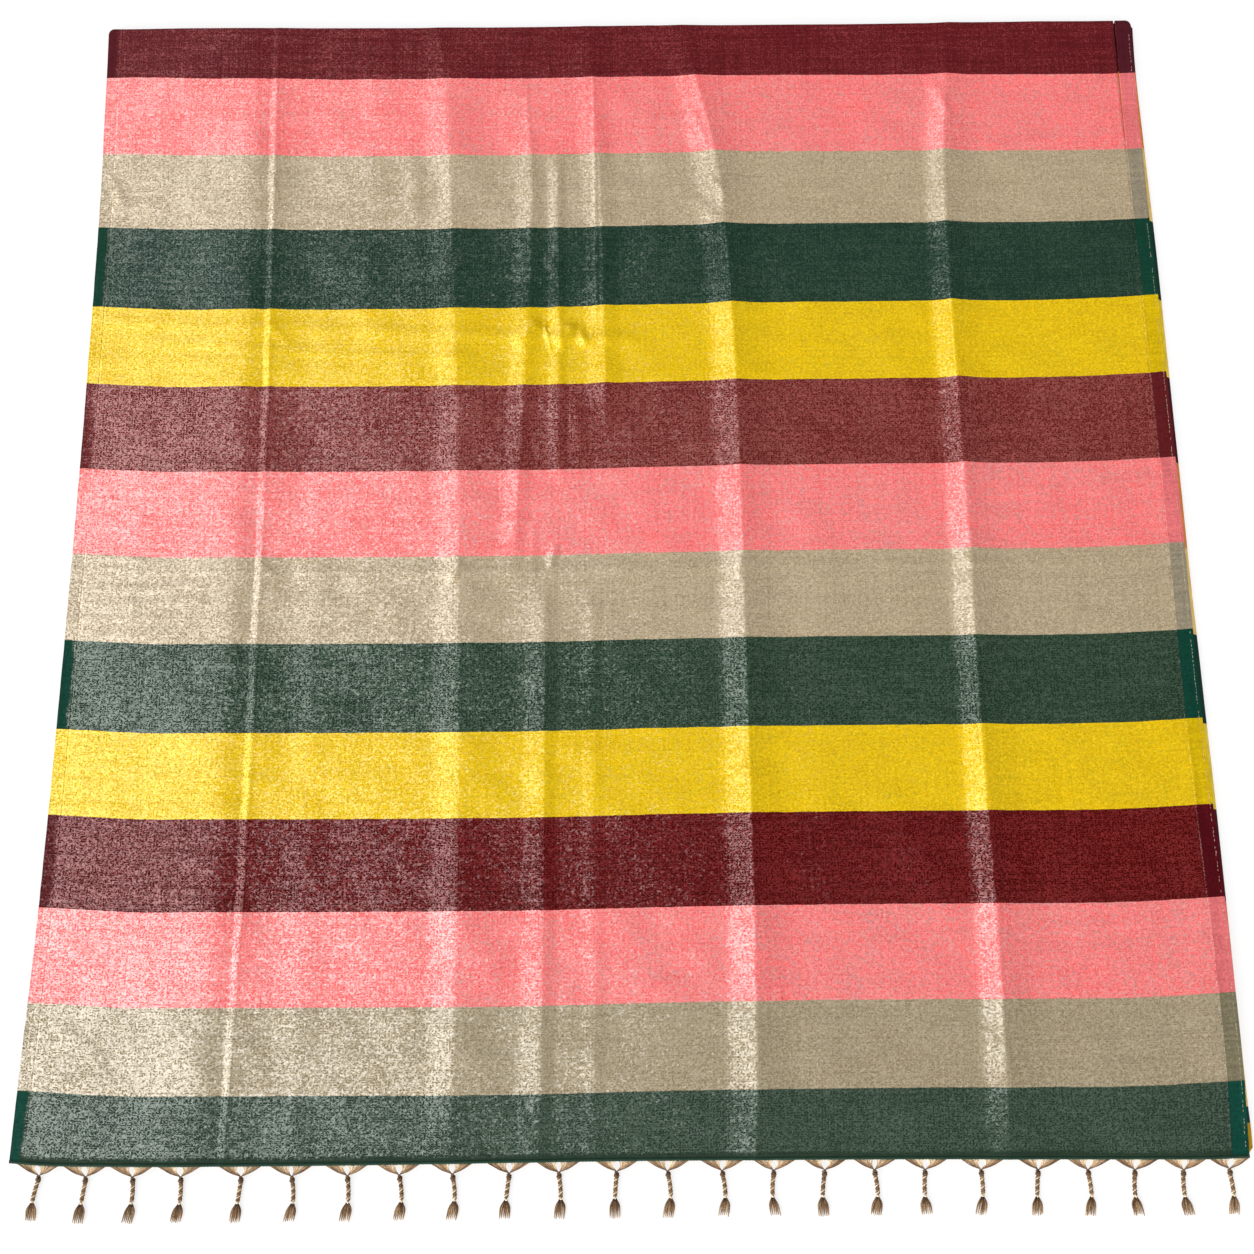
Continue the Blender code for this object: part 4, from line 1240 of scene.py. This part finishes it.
def swags(tubes, draw, across, centre):
    """Two sagging bundles of threads that leave the hem side by side and meet below it,
    with a small gap between them above the crossing."""
    crossing = centre(CROSSING_DOWN, 3.4 * MM)
    gap = draw(1.0, 2.4)
    for side in (-1, 1):
        for index in range(FAN_STRANDS):
            share = (index + draw(0.1, 0.9)) / FAN_STRANDS
            offset = side * (FAN_INSET + (FAN_REACH - FAN_INSET) * share ** 0.9)
            place = min(0.9995, max(0.0005, across + offset * MM / CLOTH_WIDTH))
            start = hem_line(np.array([place]))[0] + np.array([0, 0.5 * MM, draw(-0.7, 0.3) * MM])
            end = crossing + np.array([-side * 0.7, -2.2, draw(-0.9, 0.7)]) * MM
            meet = crossing + np.array([side * (0.4 + 0.9 * (1 - share)), 0.9 * (1 - share), 0.5]) * MM
            sag = (0.2 + 0.9 * share) * draw(0.6, 1.3) * MM
            half = start * 0.5 + meet * 0.5 + np.array([side * gap * (1 - share) ** 2 * MM, -sag, 0.3 * MM])
            path = spline([start, half, meet, end], 9)
            # Painted light and shade: each strand is light where it leaves the hem and dark where the
            # bundles meet
            ends = (0.98 - 0.50 * share, 0.80 - 0.55 * share, 0.30, 0.12)
            tone = np.interp(np.linspace(0, 3, 9), range(4), ends) + draw(-0.18, 0.14)
            tubes.add(path, draw(0.34, 0.52) * MM, 5, tone)


def wrap_knot(tubes, draw, centre, knot):
    """A few turns of thread wound round the bundle."""
    turns = 3
    count = 12 * turns
    middle = centre(knot.down * MM, KNOT_HEIGHT)
    radius = knot.radius * MM
    length = knot.length * MM
    angle = np.linspace(0, 2 * math.pi * turns, count) + draw(0, math.pi)
    along = np.linspace(-0.5, 0.5, count)
    swell = np.sqrt(np.clip(1 - (along * 1.7) ** 2, 0.15, 1))
    thread = radius * 0.32
    x = middle[0] + (radius - thread) * swell * np.cos(angle)
    y = middle[1] - along * length + 0.12 * radius * np.sin(angle * 0.5)
    z = middle[2] + (radius - thread) * 0.85 * swell * np.sin(angle)
    tubes.add(np.stack([x, y, z], axis=-1), thread, 6, knot.tone + 0.10 * np.sin(angle * 0.7))
    core = [middle + np.array([0, length * share, 0]) for share in (0.6, 0.3, 0.0, -0.3, -0.6)]
    tubes.add(core, np.array([0.5, 0.8, 0.9, 0.8, 0.5]) * radius * 0.85, 8, knot.tone - 0.12, flatten=0.9)


def twisted_cord(tubes, draw, spine):
    """Two plies laid round each other with a thin light thread between them."""
    line = spline(np.array(spine), 44)
    phase = draw(0, 2 * math.pi)
    turn = np.linspace(0, 2 * math.pi * draw(2.3, 2.9), len(line)) + phase
    for ply, tone, reach, radius in PLIES:
        offset = np.stack([np.cos(turn + ply), 0 * turn, 0.85 * np.sin(turn + ply)], axis=-1) * reach * MM
        # Painted light and shade: each ply is lighter where it lies on top of the cord and darker beneath
        shade = tone + 0.12 * np.sin(turn + ply) + draw(-0.05, 0.05)
        tubes.add(line + offset, radius * MM, 8, shade)


def tuft(tubes, draw, centre, reach):
    """Short cut threads in a few locks, spreading from the bead knot, of uneven length."""
    for lock in range(TUFT_LOCKS):
        middle = (lock + 0.5) / TUFT_LOCKS * 2 - 1
        lock_reach = reach - draw(0.0, 1.6) * MM
        for strand in range(LOCK_STRANDS):
            spread = middle + draw(-0.9, 0.9) / TUFT_LOCKS
            top = centre(TUFT_FROM, 2.4 * MM) + np.array([spread * 1.1, 0.4, draw(-0.9, 0.9)]) * MM
            half = centre(TUFT_FROM + 6 * MM, 2.2 * MM)
            half = half + np.array([spread * 4.6, 0, 0.9 * (1 - spread ** 2) + draw(-0.6, 0.5)]) * MM
            tip = centre(lock_reach - draw(0, 0.9) * MM, 0.9 * MM)
            tip = tip + np.array([(middle * 0.8 + spread * 0.2) * 5.3, 0, draw(0.0, 1.9)]) * MM
            tone = TUFT_TONES + draw(-0.20, 0.18)
            tubes.add(spline([top, half, tip], len(TUFT_RADII)), TUFT_RADII, 5, tone)


# Stage


def build_stage():
    mesh = bpy.data.meshes.new("floor")
    corners = [(x * FLOOR_HALF, y * FLOOR_HALF, 0) for x, y in ((-1, -1), (1, -1), (1, 1), (-1, 1))]
    mesh.from_pydata(corners, [], [(0, 1, 2, 3)])
    mesh.materials.append(floor_paper())
    floor = link_object("floor", mesh)


def build_sky():
    """Soft studio light: bright from the left and from low at the hem's and right sides,
    dark overhead, so the cloth shines to the left and keeps its deep colours to the right.
    Seen directly, the sky is plain white."""
    world = bpy.data.worlds.new("studio")
    world.use_nodes = True
    tree = world.node_tree
    direction = split(tree, node(tree, "TexCoord").outputs["Generated"])
    light = {row.name: span(tree, direction[row.axis], *row[2:]) for row in SKY}
    sides = add(tree, times(tree, light["left"], light["nearness"]), light["right"])
    sky = add(tree, sides, light["near"])
    seen = node(tree, "LightPath").outputs["Is Camera Ray"]
    strength = span(tree, seen, 0.0, 1.0, sky, 1.0)
    feed(tree, tree.nodes["Background"], {"Color": WHITE, "Strength": strength})
    bpy.context.scene.world = world


def build_camera():
    """The photograph's view: from above the hem's side, tilted a little towards the fold."""
    data = bpy.data.cameras.new("camera")
    data.sensor_width = 36.0
    data.sensor_fit = "AUTO"
    data.angle = math.radians(VIEW_ANGLE)
    data.dof.use_dof = False
    camera = link_object("camera", data)
    turn, lean, roll = (math.radians(angle) for angle in CAMERA_TURNS)
    tilt = Matrix.Rotation(turn, 4, "Z") @ Matrix.Rotation(lean, 4, "X") @ Matrix.Rotation(roll, 4, "Z")
    place = Vector((CLOTH_LEFT + CLOTH_WIDTH / 2 + CAMERA_ASIDE, HEM_Y + CAMERA_ALONG, CAMERA_HEIGHT))
    camera.matrix_world = Matrix.Translation(place) @ tilt
    bpy.context.scene.camera = camera


def main():
    bpy.context.scene.view_settings.view_transform = "Standard"
    build_camera()
    build_sky()
    build_stage()
    cloth = zari_cloth()
    thread = silk_thread()
    panel = build_panel(cloth)
    left = build_selvedge("left", cloth)
    right = build_selvedge("right", cloth)
    hem = build_hem(plain_cloth("hem_weave", STRIPES, "edge"))
    # The folded layers' edges take the edge colours, which hold painted light and shade
    layers = build_hidden_layers(plain_cloth("folded_edges", HIDDEN_STRIPES, "edge"))
    stitches = build_selvedge_stitches(stitch_shade_and_highlight_thread())
    tassels = [build_tassel(number, tassel, thread) for number, tassel in enumerate(TASSELS, start=1)]


main()
